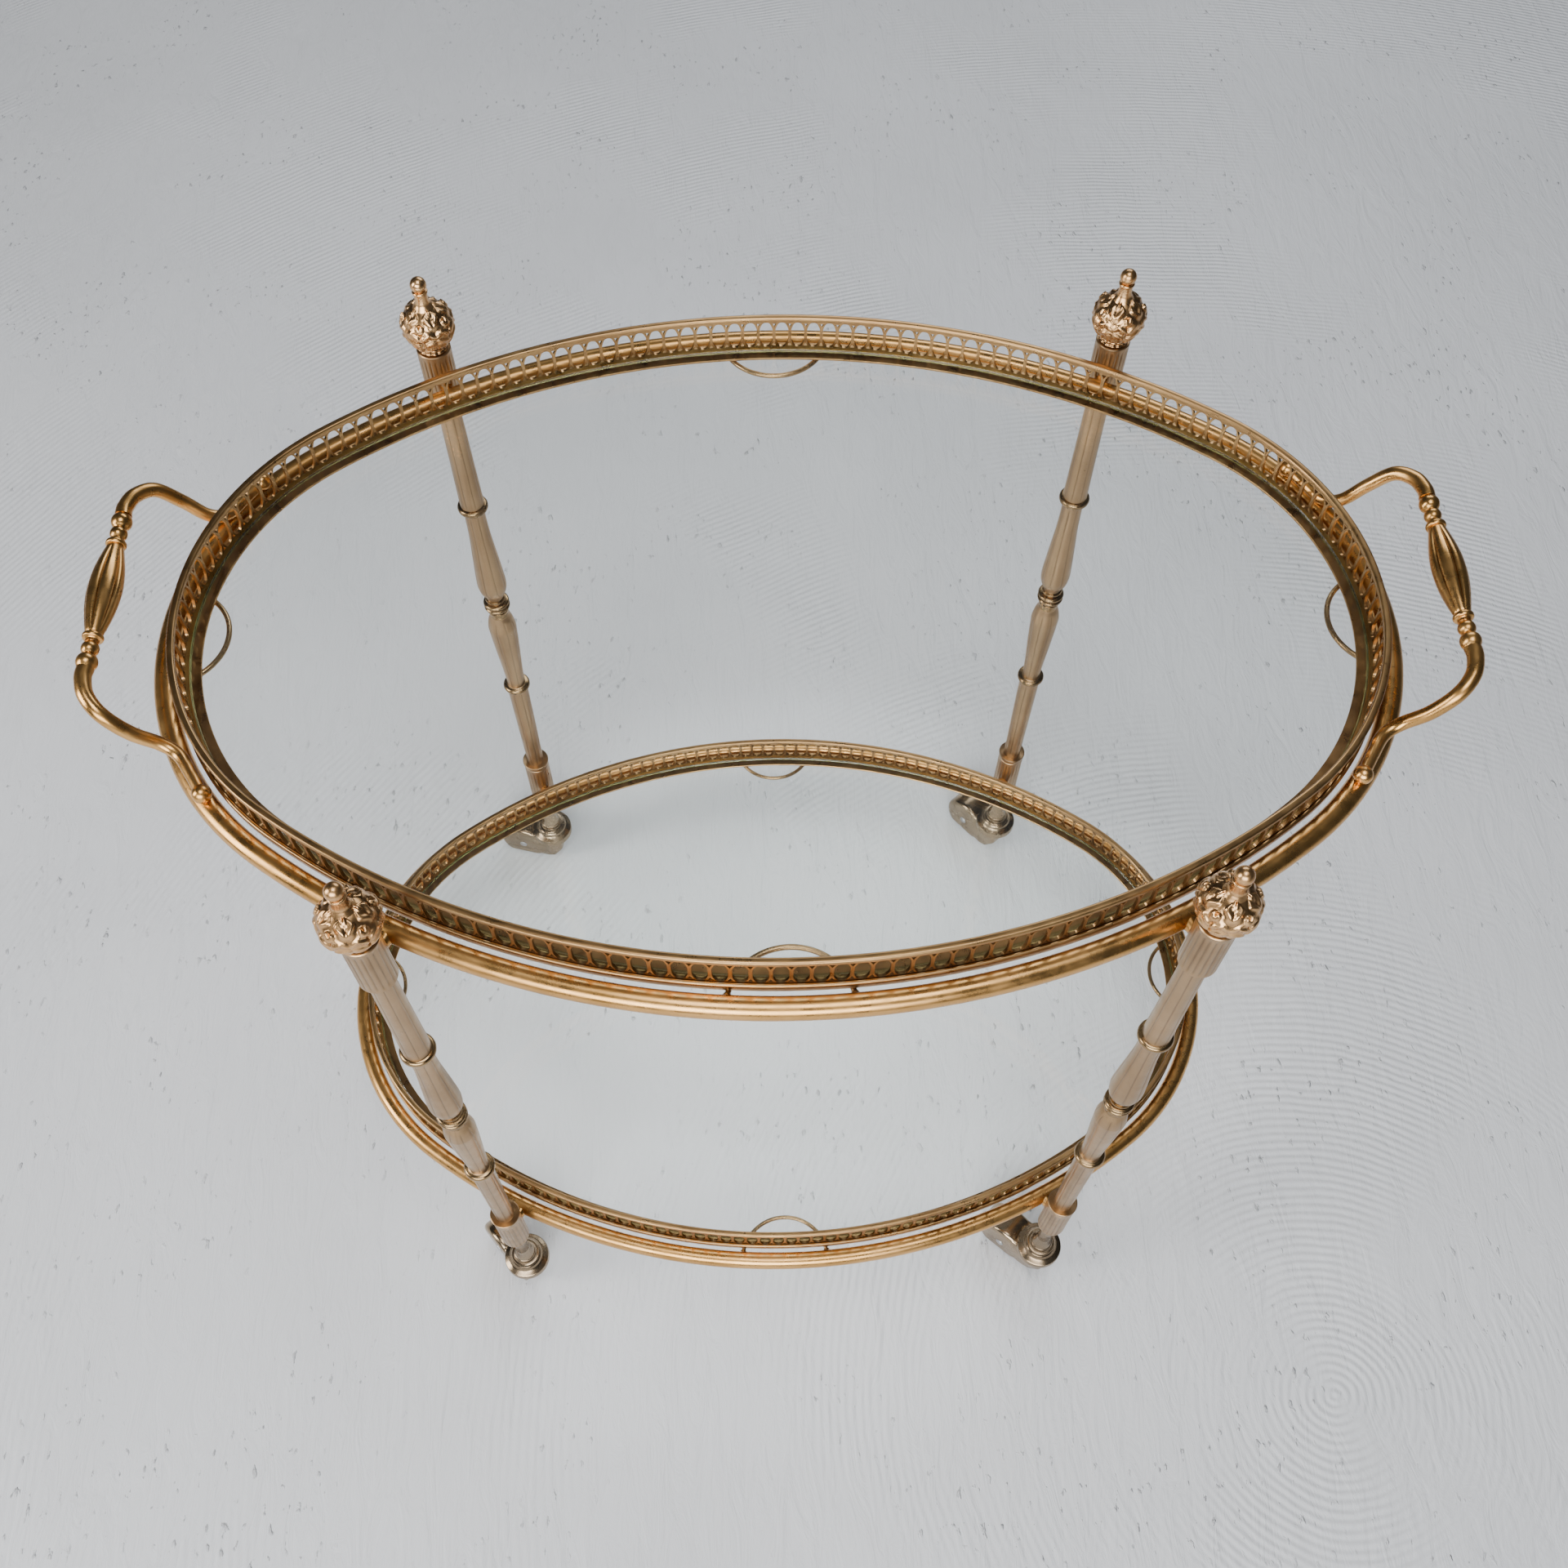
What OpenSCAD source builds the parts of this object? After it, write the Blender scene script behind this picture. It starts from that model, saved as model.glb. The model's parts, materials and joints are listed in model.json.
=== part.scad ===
// Oval two-tier drinks trolley: two tube frames on four turned posts, two lift-off trays
// with pierced galleries and glass, two push handles and four hooded swivel casters.
// The origin is on the floor under the middle of the trolley, with X along its length.

/* [Oval frame] */
// Half length of the oval, to the middle of the frame tube
tube_a = 326; // [300:1:400]
// Half width of the oval, to the middle of the frame tube
tube_b = 218; // [200:1:270]
// Outside diameter of the frame tube
tube_d = 12; // [9:0.5:16]
// Wall of the frame tube
tube_wall = 1.5; // [1:0.1:2.5]

/* [Tiers] */
// Height of the lower gallery's top edge above the floor
lower_rim_z = 152; // [120:1:220]
// Distance from the lower gallery's top edge up to the upper one's
tier_drop = 468; // [385:1:600]
// Middle of the frame tube below the gallery's top edge
tube_drop = 29.5; // [22:0.5:34]

/* [Trays] */
// Gap between the frame tube and the gallery's lip
tray_gap = 3; // [2:0.1:6]
// Width of the lip along the gallery's top
lip_w = 4; // [3:0.1:6]
// Height of the lip
lip_h = 3.5; // [2.5:0.1:5]
// Thickness of the pierced strip
strip_t = 1.6; // [1:0.1:2.4]
// Height from the ledge's upper face to the lip's top
gallery_h = 27; // [20:0.5:30]
// Height of the pierced openings
opening_h = 18.5; // [8:0.5:20]
// Plain strip between the lip and the openings
opening_top = 1; // [0.5:0.1:3]
// Number of openings round one gallery, a multiple of four
opening_count = 176; // [120:4:200]
// Width of the bar between two openings
bar_w = 2.2; // [1.5:0.1:4]
// Thickness of the ledge that carries the glass
ledge_t = 1.5; // [1:0.1:3]
// Reach of the ledge inwards from the lip's outer edge
ledge_reach = 10.5; // [8:0.5:20]
// Height of the base moulding outside the strip
base_h = 4; // [2:0.5:6]
// Thickness of the base moulding
base_t = 2.2; // [1:0.1:3]
// Thickness of the glass
glass_t = 4; // [3:0.5:8]
// Gap between the lip and the edge of the glass
glass_gap = 0.6; // [0.3:0.1:2]

/* [Tray hoops] */
// Radius of a wire hoop, to the middle of its wire
hoop_r = 31; // [20:1:45]
// Diameter of the hoop wire
wire_d = 3; // [2:0.1:4]

/* [Posts] */
// Distance of each post from the middle, along the length
post_x = 199; // [150:1:240]
// Radius of the fluted collars
collar_r = 10; // [8:0.1:13]
// Gap between a collar and the frame tube, filled by a lug
post_gap = 1.5; // [0.8:0.1:4]
// Radius of the lugs
lug_r = 4.5; // [3:0.1:5.5]
// Length of the collars above the middle of the upper frame tube
collar_up = 25.5; // [12:0.5:34]
// Length of the collars below the middle of the upper frame tube
collar_down = 17.5; // [12:0.5:40]
// Length of the lower collars above the middle of the lower frame tube
foot_up = 34.5; // [12:0.5:44]
// Length of the lower collars below the middle of the lower frame tube
foot_down = 20.5; // [12:0.5:32]
// Number of flutes round a collar
flutes = 20; // [12:1:28]
// Diameter of the steel tie rod inside a post
rod_d = 6; // [4:0.5:8]
// Radius of the turned rings on the shaft
ring_r = 10.1; // [8:0.1:13]
// Height of a turned ring
ring_h = 5; // [3:0.5:8]
// Length of the plain run above the first ring
upper_run = 96; // [60:1:120]
// Length of the vase between the first and second rings
vase_run = 98; // [60:1:120]
// Length of the bulb between the second and third rings
bulb_run = 96; // [60:1:120]
// Radius of the vase and the bulb at their widest
vase_r = 10.1; // [8:0.1:12]
// Radius of the shaft's necks
neck_r = 6.2; // [5:0.1:8]
// Radius of the shaft at its upper end
shaft_r = 6.8; // [5.5:0.1:9]
// Radius of the shaft beside the plain run's rings
shaft_wide_r = 8; // [6:0.1:9]

/* [Finials] */
// Radius of the leaf globe
globe_r = 16; // [10:0.5:20]
// Radius of the ball on top
ball_r = 4.7; // [3:0.1:7]
// Distance from the globe's middle up to the ball's middle
ball_rise = 28; // [22:0.5:36]

/* [Handles] */
// Distance of the grip's axis outwards from the middle of the frame tube
grip_out = 19.5; // [15:0.5:40]
// Height of the grip's axis above the middle of the upper frame tube
grip_rise = 43; // [24:0.5:50]
// Half length of the grip
grip_half = 33; // [28:0.5:40]
// Radius of the grip at its middle
grip_r = 8.7; // [6:0.1:11]
// Radius of the grip at its ends
grip_end_r = 4.3; // [3:0.1:6]
// Radius of the ball between an arm and the small ball
bead_r = 5.4; // [4.8:0.1:6.5]
// Radius of the small ball next to the grip
small_bead_r = 4.5; // [3.5:0.1:5.5]
// Length of the two balls together
bead_len = 16.5; // [12:0.5:18]
// Radius of an arm where it meets the bead
arm_r = 4.4; // [3.5:0.1:5]
// Radius of an arm at its tip on the frame tube
arm_tip_r = 3.2; // [2.5:0.1:4]
// Radius of the ball knob on an arm's tip
knob_r = 5; // [4.5:0.1:6]

/* [Casters] */
// Radius of the wheel
wheel_r = 18; // [14:0.5:24]
// Half width of the wheel's tread
wheel_half = 8; // [5:0.5:12]
// Distance the wheel's axle trails behind the swivel axis
trail = 26; // [20:0.5:34]
// Radius of the round cap round the stem
cap_r = 17; // [14:0.5:20]
// Gap between the wheel and the hood
wheel_gap = 1.5; // [1:0.1:3]
// Thickness of the hood over the wheel
hood_t = 1.5; // [1:0.1:3]
// Thickness of the hood's two cheeks
cheek_t = 3; // [2:0.1:4]
// Height of the hood's lower edge above the floor
hood_clear = 5; // [3:0.5:9]
// Diameter of the axle
axle_d = 4; // [3:0.5:6]
// Diameter of the swivel pin
pin_d = 8; // [6:0.5:9]
// Radius of the stem sleeve under the collar
stem_r = 5; // [4.5:0.1:7]
// Direction the front left caster trails, in degrees
heading_front_left = 130; // [0:1:359]
// Direction the front right caster trails, in degrees
heading_front_right = 139; // [0:1:359]
// Direction the back left caster trails, in degrees
heading_back_left = 165; // [0:1:359]
// Direction the back right caster trails, in degrees
heading_back_right = 130; // [0:1:359]

/* [Fits] */
// Radial clearance of a shaft that turns in a hole
run_fit = 0.05; // [0.02:0.01:0.1]
// Radial clearance round the tie rods and between fixed pieces
seat_fit = 0.1; // [0.05:0.05:0.3]
// Gap between pieces that move past each other
move_gap = 0.3; // [0.3:0.1:0.6]

/* [Hidden] */
$fn = 96;

brass = "goldenrod";
pale_brass = "burlywood";
bronze = "rosybrown";
steel = "silver";
clear_glass = "lightcyan";
tread = "dimgray";

// The oval is four arcs, two ends and two sides, that meet without a corner. The arcs' centres
// and a 3-4-5 triangle set where they meet, so every centre and radius is a round number.
tube_r = tube_d / 2;
end_turn = asin(0.8);
side_turn = 90 - end_turn;
end_c = 1.5 * (tube_a - tube_b);
side_c = 2 * (tube_a - tube_b);
tube_end_r = tube_a - end_c;
side_r = tube_b + side_c;

// Heights and insets shared by the two trays
upper_rim_z = lower_rim_z + tier_drop;
upper_tube_z = upper_rim_z - tube_drop;
lower_tube_z = lower_rim_z - tube_drop;
lip_out = tube_r + tray_gap;
lip_in = lip_out + lip_w;
strip_out = lip_out + (lip_w - strip_t) / 2;
strip_in = strip_out + strip_t;
base_out = strip_out - seat_fit - base_t;
ledge_in = lip_out + ledge_reach;
glass_out = lip_in + glass_gap;
opening_hi = lip_h + opening_top;
opening_lo = opening_hi + opening_h;
bar_sink = 0.5;
hoop_dip = gallery_h + ledge_t + seat_fit + wire_d / 2 - tube_drop;

// A post stands outside the tube, on the oval's normal at its own place along the length.
post_out = tube_r + post_gap + collar_r;
side_reach = (side_r + post_out) * sin(side_turn);
on_side = post_x <= side_reach;
post_angle = on_side ? 90 - asin(post_x / (side_r + post_out))
                     : acos((post_x - end_c) / (tube_end_r + post_out));
post_y = on_side ? (side_r + post_out) * sin(post_angle) - side_c
                 : (tube_end_r + post_out) * sin(post_angle);

// Heights of the post's pieces
collar_top_z = upper_tube_z + collar_up;
shaft_top_z = upper_tube_z - collar_down;
shaft_bottom_z = lower_tube_z + foot_up;
foot_z = lower_tube_z - foot_down;
finial_foot_h = 3.5;
finial_foot_r = 7;
globe_z = collar_top_z + finial_foot_h
    + sqrt(globe_r * globe_r - finial_foot_r * finial_foot_r);
rod_r = rod_d / 2;
rod_hole_r = rod_r + seat_fit;
rod_top_z = globe_z;
spigot_len = 16;
rod_bottom_z = foot_z + spigot_len + 1;

// Heights of a caster's pieces
axle_r = axle_d / 2;
pin_r = pin_d / 2;
hood_r = wheel_r + wheel_gap + hood_t;
hood_half = wheel_half + 1 + cheek_t;
hood_top_z = wheel_r + hood_r;
cap_rise = 11;
cap_step_h = 3;
cap_sink = 5;
pin_len = 20;
cap_top_z = hood_top_z + cap_rise;
cap_rim_z = cap_top_z - cap_step_h;
cap_base_z = hood_top_z - cap_sink;
pin_bottom_z = cap_top_z - pin_len;

// Twelve-sided arms of the handles follow one smooth line through chosen points.
// Each point is outwards from the tube's middle line, along the oval's width, and up from it.
arm_lift = tube_r + arm_tip_r + seat_fit;
arm_gap = 0.6;
bead_seat = 0.85;
bead_neck_r = 3;
arm_points = [
    [-35.5, 101, arm_lift],
    [-28, 89, arm_lift],
    [-20.5, 78.5, arm_lift],
    [-12, 74.5, arm_lift + 4],
    [-1, 75, arm_lift + 15],
    [9, 72.5, grip_rise - 6.5],
    [16.5, 64.5, grip_rise - 1.5],
    [grip_out, 55, grip_rise],
    [grip_out, grip_half + bead_len + arm_gap, grip_rise],
];
arm_steps = 4;
arm_sides = 12;

// Slow start and slow end between two values
function ease(t) = t * t * (3 - 2 * t);
function flare(r1, r2, z1, z2, steps = 6) =
    [for (i = [0:steps]) [r1 + (r2 - r1) * ease(i / steps), z1 + (z2 - z1) * i / steps]];

// Point on a smooth curve through four points, at t between the middle two
function spline(a, b, c, d, t) =
    (2 * b + (c - a) * t + (2 * a - 5 * b + 4 * c - d) * t * t
     + (3 * b - a - 3 * c + d) * t * t * t) / 2;
function along(points, i, t) =
    let (last = len(points) - 1)
    spline(points[max(i - 1, 0)], points[i], points[min(i + 1, last)],
           points[min(i + 2, last)], t);
function smooth_line(points, steps) =
    concat([for (i = [0:len(points) - 2]) for (s = [0:steps - 1]) along(points, i, s / steps)],
           [points[len(points) - 1]]);
function unit(v) = v / norm(v);
function tangent(line, i) =
    unit(line[min(i + 1, len(line) - 1)] - line[max(i - 1, 0)]);

// Angle of the oval's normal and the point on it, at a length q along the first quarter
end_len = (tube_end_r - strip_out) * end_turn * PI / 180;
side_len = (side_r - strip_out) * side_turn * PI / 180;
function normal_at(q) =
    q < end_len ? q / end_len * end_turn : end_turn + (q - end_len) / side_len * side_turn;
function oval_at(angle, inset) =
    angle < end_turn
        ? [end_c + (tube_end_r - inset) * cos(angle), (tube_end_r - inset) * sin(angle)]
        : [(side_r - inset) * cos(angle), (side_r - inset) * sin(angle) - side_c];

// The wedges between the seams of an end arc and of a side arc
module end_wedge() {
    far = 2 * tube_a;
    linear_extrude(height = far, center = true) polygon([
        [end_c, 0], [end_c + 0.6 * far, 0.8 * far], [end_c + far, 0.8 * far],
        [end_c + far, -0.8 * far], [end_c + 0.6 * far, -0.8 * far],
    ]);
}
module side_wedge() {
    far = 2 * side_r;
    linear_extrude(height = far, center = true) polygon([
        [0, -side_c], [0.6 * far, 0.8 * far - side_c], [-0.6 * far, 0.8 * far - side_c],
    ]);
}

// Sweeps a profile round the oval: its x is outwards from the tube's middle line, its y is up.
module oval_sweep() {
    for (flip = [0, 1]) mirror([flip, 0, 0]) intersection() {
        translate([end_c, 0, 0]) rotate_extrude() translate([tube_end_r, 0]) children();
        end_wedge();
    }
    for (flip = [0, 1]) mirror([0, flip, 0]) intersection() {
        translate([0, -side_c, 0]) rotate_extrude() translate([side_r, 0]) children();
        side_wedge();
    }
}

// A flat oval plate whose edge is inset from the tube's middle line
module oval_plate(inset, thick) {
    for (flip = [0, 1]) mirror([flip, 0, 0]) intersection() {
        translate([end_c, 0, 0]) cylinder(r = tube_end_r - inset, h = thick);
        end_wedge();
    }
    for (flip = [0, 1]) mirror([0, flip, 0]) intersection() {
        translate([0, -side_c, 0]) cylinder(r = side_r - inset, h = thick);
        side_wedge();
        translate([-tube_a, 0, -1]) cube([2 * tube_a, 2 * tube_b, thick + 2]);
    }
}

module frame_tube(tube_z) {
    color(brass) translate([0, 0, tube_z]) difference() {
        oval_sweep() circle(d = tube_d);
        oval_sweep() circle(d = tube_d - 2 * tube_wall);
    }
}

// Four wire hoops under the tray, each with both ends on the tube's inner side
module hoops(tube_z) {
    flank = sqrt(tube_r * tube_r - pow(hoop_dip - wire_d / 2, 2));
    for (side = [0:3]) {
        reach = side % 2 == 0 ? tube_a : tube_b;
        bow = hoop_r * hoop_r / (2 * (side % 2 == 0 ? tube_end_r : side_r));
        start = asin((flank + bow + seat_fit) / hoop_r);
        color(brass) rotate([0, 0, 90 * side]) translate([reach, 0, tube_z - hoop_dip])
            rotate([0, 0, 90 + start]) rotate_extrude(angle = 180 - 2 * start)
                translate([hoop_r, 0]) circle(d = wire_d);
    }
}

// Places a piece on one post's axis, with its own X pointing away from the tube
module at_post(right, back) {
    mirror([right ? 0 : 1, 0, 0]) mirror([0, back ? 0 : 1, 0])
        translate([post_x, post_y, 0]) rotate([0, 0, post_angle]) children();
}

// Four lugs that join the collars to the frame tube
module lugs(tube_z) {
    for (right = [false, true]) for (back = [false, true])
        color(brass) at_post(right, back) translate([0, 0, tube_z]) difference() {
            translate([-post_out, 0, 0]) rotate([0, 90, 0]) cylinder(r = lug_r, h = post_out);
            translate([-post_out, 0, 0]) rotate([90, 0, 0])
                cylinder(r = tube_r + seat_fit / 2, h = 4 * lug_r, center = true);
            cylinder(r = collar_r + seat_fit / 2, h = 4 * lug_r, center = true);
        }
}

module gallery_lip(rim_z) {
    bevel = lip_w / 4;
    color(brass) translate([0, 0, rim_z - lip_h]) oval_sweep() polygon([
        [-lip_in, 0], [-lip_out, 0],
        [-lip_out, lip_h - bevel], [-lip_out - bevel, lip_h],
        [-lip_in + bevel, lip_h], [-lip_in, lip_h - bevel],
    ]);
}

// The strip is pierced all round: two bands joined by the bars between the openings.
module gallery_strip(rim_z) {
    quarter = opening_count / 4;
    pitch = (end_len + side_len) / quarter;
    color(brass) translate([0, 0, rim_z]) {
        oval_sweep() translate([-strip_in, -opening_hi]) square([strip_t, opening_top]);
        oval_sweep() translate([-strip_in, -gallery_h])
            square([strip_t, gallery_h - opening_lo]);
        for (flip_x = [0, 1]) for (flip_y = [0, 1]) for (i = [0:quarter - 1]) {
            turn = normal_at((i + 0.5) * pitch);
            place = oval_at(turn, (strip_in + strip_out) / 2);
            mirror([flip_x, 0, 0]) mirror([0, flip_y, 0])
                translate([place[0], place[1], -(opening_hi + opening_lo) / 2])
                rotate([0, 0, turn])
                cube([strip_t / 2, bar_w, opening_h + 2 * bar_sink], center = true);
        }
    }
}

// Flat ledge under the glass and the strip, with a moulding outside the strip
module tray_ledge(rim_z) {
    color(brass) translate([0, 0, rim_z - gallery_h]) oval_sweep() polygon([
        [-ledge_in, -ledge_t], [-base_out, -ledge_t],
        [-base_out, base_h - base_t / 2], [-base_out - base_t / 2, base_h],
        [-base_out - base_t, base_h], [-base_out - base_t, 0],
        [-ledge_in, 0],
    ]);
}

module glass(rim_z) {
    color(clear_glass) translate([0, 0, rim_z - gallery_h]) oval_plate(glass_out, glass_t);
}

module finial(right, back) {
    neck_top_z = globe_z + ball_rise - ball_r * 0.6;
    color(brass) at_post(right, back) difference() {
        union() {
            translate([0, 0, collar_top_z]) cylinder(r = collar_r - 1, h = finial_foot_h + 0.5);
            intersection() {
                translate([0, 0, globe_z]) sphere(r = globe_r);
                translate([0, 0, collar_top_z + finial_foot_h])
                    cylinder(r = 2 * globe_r, h = 3 * globe_r);
            }
            translate([0, 0, globe_z])
                cylinder(r1 = globe_r * 0.53, r2 = ball_r * 0.72, h = neck_top_z - globe_z);
            translate([0, 0, globe_z + ball_rise]) sphere(r = ball_r);
        }
        translate([0, 0, collar_top_z - 1])
            cylinder(r = rod_hole_r, h = rod_top_z - collar_top_z + 1.5);
    }
}

// A fluted sleeve between two heights, bored for the tie rod
module fluted_collar(z_low, z_high) {
    land = 2;
    difference() {
        translate([0, 0, z_low]) cylinder(r = collar_r, h = z_high - z_low);
        translate([0, 0, z_low - 1]) cylinder(r = rod_hole_r, h = z_high - z_low + 2);
        for (i = [0:flutes - 1])
            rotate([0, 0, (i + 0.5) * 360 / flutes]) translate([collar_r + 0.3, 0, z_low + land])
                cylinder(r = 0.9, h = z_high - z_low - 2 * land, $fn = 24);
    }
}

module top_collar(right, back) {
    color(pale_brass) at_post(right, back) fluted_collar(shaft_top_z, collar_top_z);
}

// Turned shaft: plain run, ring, vase, double ring, bulb, ring and plain run
module shaft(right, back) {
    z_ring1 = shaft_top_z - upper_run;
    z_vase = z_ring1 - ring_h;
    z_ring2 = z_vase - vase_run;
    z_bulb = z_ring2 - 1.5 * ring_h;
    z_ring3 = z_bulb - bulb_run;
    z_run = z_ring3 - ring_h;
    outline = concat(
        flare(shaft_r, shaft_wide_r, shaft_top_z, z_ring1, 2),
        [[ring_r - 0.8, z_ring1], [ring_r, z_ring1 - 1], [ring_r, z_vase + 1], [neck_r + 1, z_vase]],
        flare(neck_r, vase_r, z_vase - 3, z_vase - 0.8 * vase_run),
        flare(vase_r, neck_r, z_vase - 0.82 * vase_run, z_ring2 + 4, 4),
        [[neck_r, z_ring2], [ring_r - 1, z_ring2 - 0.5], [ring_r - 1, z_ring2 - 3],
         [ring_r - 2.2, z_ring2 - 3.5], [ring_r - 2.2, z_ring2 - 4],
         [ring_r - 1, z_ring2 - 4.5], [ring_r - 1, z_bulb + 0.5], [neck_r, z_bulb]],
        flare(neck_r, vase_r, z_bulb - 10, z_bulb - 24, 4),
        flare(vase_r, neck_r + 0.4, z_bulb - 26, z_ring3 + 2),
        [[ring_r - 0.8, z_ring3], [ring_r, z_ring3 - 1], [ring_r, z_run + 1], [shaft_wide_r, z_run]],
        flare(shaft_wide_r - 0.3, neck_r + 0.2, z_run - 2, shaft_bottom_z, 4)
    );
    color(pale_brass) at_post(right, back) rotate_extrude() polygon(concat(
        [[rod_hole_r, shaft_bottom_z], [rod_hole_r, shaft_top_z]], outline));
}

// Lower fluted collar with a small cup at its top
module foot_collar(right, back) {
    cup_h = 5;
    color(pale_brass) at_post(right, back) {
        fluted_collar(foot_z, shaft_bottom_z - cup_h);
        translate([0, 0, shaft_bottom_z - cup_h]) difference() {
            cylinder(r1 = collar_r, r2 = collar_r + 0.6, h = cup_h);
            translate([0, 0, -1]) cylinder(r = rod_hole_r, h = cup_h + 2);
        }
    }
}

module tie_rod(right, back) {
    color(steel) at_post(right, back) translate([0, 0, rod_bottom_z])
        cylinder(r = rod_r, h = rod_top_z - rod_bottom_z);
}

// Turns a piece made for the right end round to the other end
module at_end(right) {
    mirror([right ? 0 : 1, 0, 0]) translate([tube_a, 0, upper_tube_z]) children();
}

// One solid swept along a line of points, from radius r1 at its start to r2 at its end
module swept_rod(line, r1, r2) {
    last = len(line) - 1;
    rings = [for (i = [0:last]) let (
        run = tangent(line, i),
        across = unit(cross(run, [0, 0, 1])),
        up = cross(across, run),
        r = r1 + (r2 - r1) * i / last
    ) for (s = [0:arm_sides - 1])
        line[i] + r * (cos(s * 360 / arm_sides) * across + sin(s * 360 / arm_sides) * up)];
    walls = [for (i = [0:last - 1]) for (s = [0:arm_sides - 1]) let (t = (s + 1) % arm_sides)
        [i * arm_sides + s, i * arm_sides + t, (i + 1) * arm_sides + t, (i + 1) * arm_sides + s]];
    first_cap = [for (s = [0:arm_sides - 1]) arm_sides - 1 - s];
    last_cap = [for (s = [0:arm_sides - 1]) last * arm_sides + s];
    polyhedron(points = rings, faces = concat(walls, [first_cap, last_cap]));
}

module handle_arms(right) {
    line = smooth_line(arm_points, arm_steps);
    color(brass) at_end(right) for (side = [0, 1])
        mirror([0, side, 0]) swept_rod(line, arm_tip_r, arm_r);
}

// Ball knobs, each bored for the tip of its arm
module handle_knobs(right) {
    tip = arm_points[0];
    toward = arm_points[1] - tip;
    color(brass) at_end(right) for (side = [0, 1]) mirror([0, side, 0])
        translate(tip) rotate([0, 0, atan2(toward[1], toward[0])]) rotate([0, 90, 0])
            rotate_extrude() difference() {
                intersection() {
                    translate([0, -1]) circle(r = knob_r);
                    translate([0, -2 * knob_r]) square([2 * knob_r, 4 * knob_r]);
                }
                translate([-1, -seat_fit]) square([arm_tip_r + seat_fit + 1, 2 * knob_r]);
            }
}

module handle_beads(right) {
    small_at = grip_half + bead_seat * small_bead_r;
    large_at = grip_half + bead_len - bead_seat * bead_r;
    color(brass) at_end(right) for (side = [0, 1]) mirror([0, side, 0])
        translate([grip_out, 0, grip_rise]) rotate([-90, 0, 0])
            rotate_extrude() intersection() {
                union() {
                    translate([0, small_at]) circle(r = small_bead_r);
                    translate([0, large_at]) circle(r = bead_r);
                    translate([0, small_at]) square([bead_neck_r, large_at - small_at]);
                }
                translate([0, grip_half]) square([2 * bead_r, bead_len]);
            }
}

// Spindle grip with a small ring near each end
module handle_grip(right) {
    collar_len = 5;
    swell = grip_half - collar_len;
    half_outline = concat(
        [for (i = [0:8]) [grip_end_r + (grip_r - grip_end_r) * cos(90 * i / 8), swell * i / 8]],
        [[grip_end_r + 1, swell + 0.5], [grip_end_r + 1, swell + 3.5],
         [grip_end_r - 0.4, swell + 4], [grip_end_r - 0.4, grip_half]]
    );
    color(brass) at_end(right) translate([grip_out, 0, grip_rise]) rotate([90, 0, 0])
        for (side = [0, 1]) mirror([0, 0, side])
            rotate_extrude() polygon(concat([[0, grip_half], [0, 0]], half_outline));
}

// Places a piece on a caster's swivel axis, with its own X pointing the way it trails
module at_caster(right, back) {
    heading = right ? (back ? heading_back_right : heading_front_right)
                    : (back ? heading_back_left : heading_front_left);
    translate([(right ? 1 : -1) * post_x, (back ? 1 : -1) * post_y, 0])
        rotate([0, 0, heading]) children();
}

// Sleeve under the collar, with a spigot in the post and the swivel pin below
module caster_stem(right, back) {
    sleeve_z = cap_top_z + move_gap;
    flare_h = 18;
    flare_w = 3.2;
    color(bronze) at_caster(right, back) {
        translate([0, 0, pin_bottom_z + move_gap])
            cylinder(r = pin_r, h = sleeve_z - pin_bottom_z - move_gap + 1);
        translate([0, 0, sleeve_z]) cylinder(r1 = stem_r + flare_w, r2 = stem_r, h = flare_h);
        translate([0, 0, sleeve_z + 1]) cylinder(r = stem_r - 0.01, h = foot_z - sleeve_z - 1);
        translate([0, 0, foot_z - 1]) cylinder(r = rod_r, h = spigot_len + 1);
    }
}

// Hood over the wheel, with the stepped round cap round the stem
module caster_hood(right, back) {
    block_front = cap_r - 6;
    skirt_h = 2;
    color(bronze) at_caster(right, back) difference() {
        union() {
            translate([0, 0, cap_rim_z]) cylinder(r = cap_r * 0.63, h = cap_step_h);
            translate([0, 0, cap_base_z + skirt_h])
                cylinder(r1 = cap_r, r2 = cap_r - 2, h = cap_rim_z - cap_base_z - skirt_h);
            translate([0, 0, cap_base_z]) cylinder(r = cap_r, h = skirt_h);
            intersection() {
                translate([trail, 0, wheel_r]) rotate([90, 0, 0])
                    cylinder(r = hood_r, h = 2 * hood_half, center = true);
                translate([-cap_r, -cap_r, hood_clear]) cube([5 * cap_r, 2 * cap_r, 3 * hood_r]);
            }
            translate([0, hood_half, 0]) rotate([90, 0, 0]) linear_extrude(height = 2 * hood_half)
                polygon([[-block_front, cap_base_z + 1], [-block_front, wheel_r + 6],
                         [0, hood_clear], [trail, hood_clear], [trail, cap_base_z + 1]]);
        }
        translate([trail, 0, wheel_r]) rotate([90, 0, 0])
            cylinder(r = wheel_r + wheel_gap, h = 2 * (wheel_half + 1), center = true);
        translate([trail, 0, wheel_r]) rotate([90, 0, 0])
            cylinder(r = axle_r + run_fit, h = 3 * hood_half, center = true);
        translate([0, 0, pin_bottom_z]) cylinder(r = pin_r + run_fit, h = 2 * pin_len);
    }
}

module caster_axle(right, back) {
    head_h = 1.2;
    color(steel) at_caster(right, back) translate([trail, 0, wheel_r]) rotate([90, 0, 0]) {
        cylinder(r = axle_r, h = 2 * hood_half + 0.1, center = true);
        for (side = [0, 1]) mirror([0, 0, side]) translate([0, 0, hood_half + 0.05])
            cylinder(r1 = axle_r + 1.2, r2 = axle_r + 0.4, h = head_h);
    }
}

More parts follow.
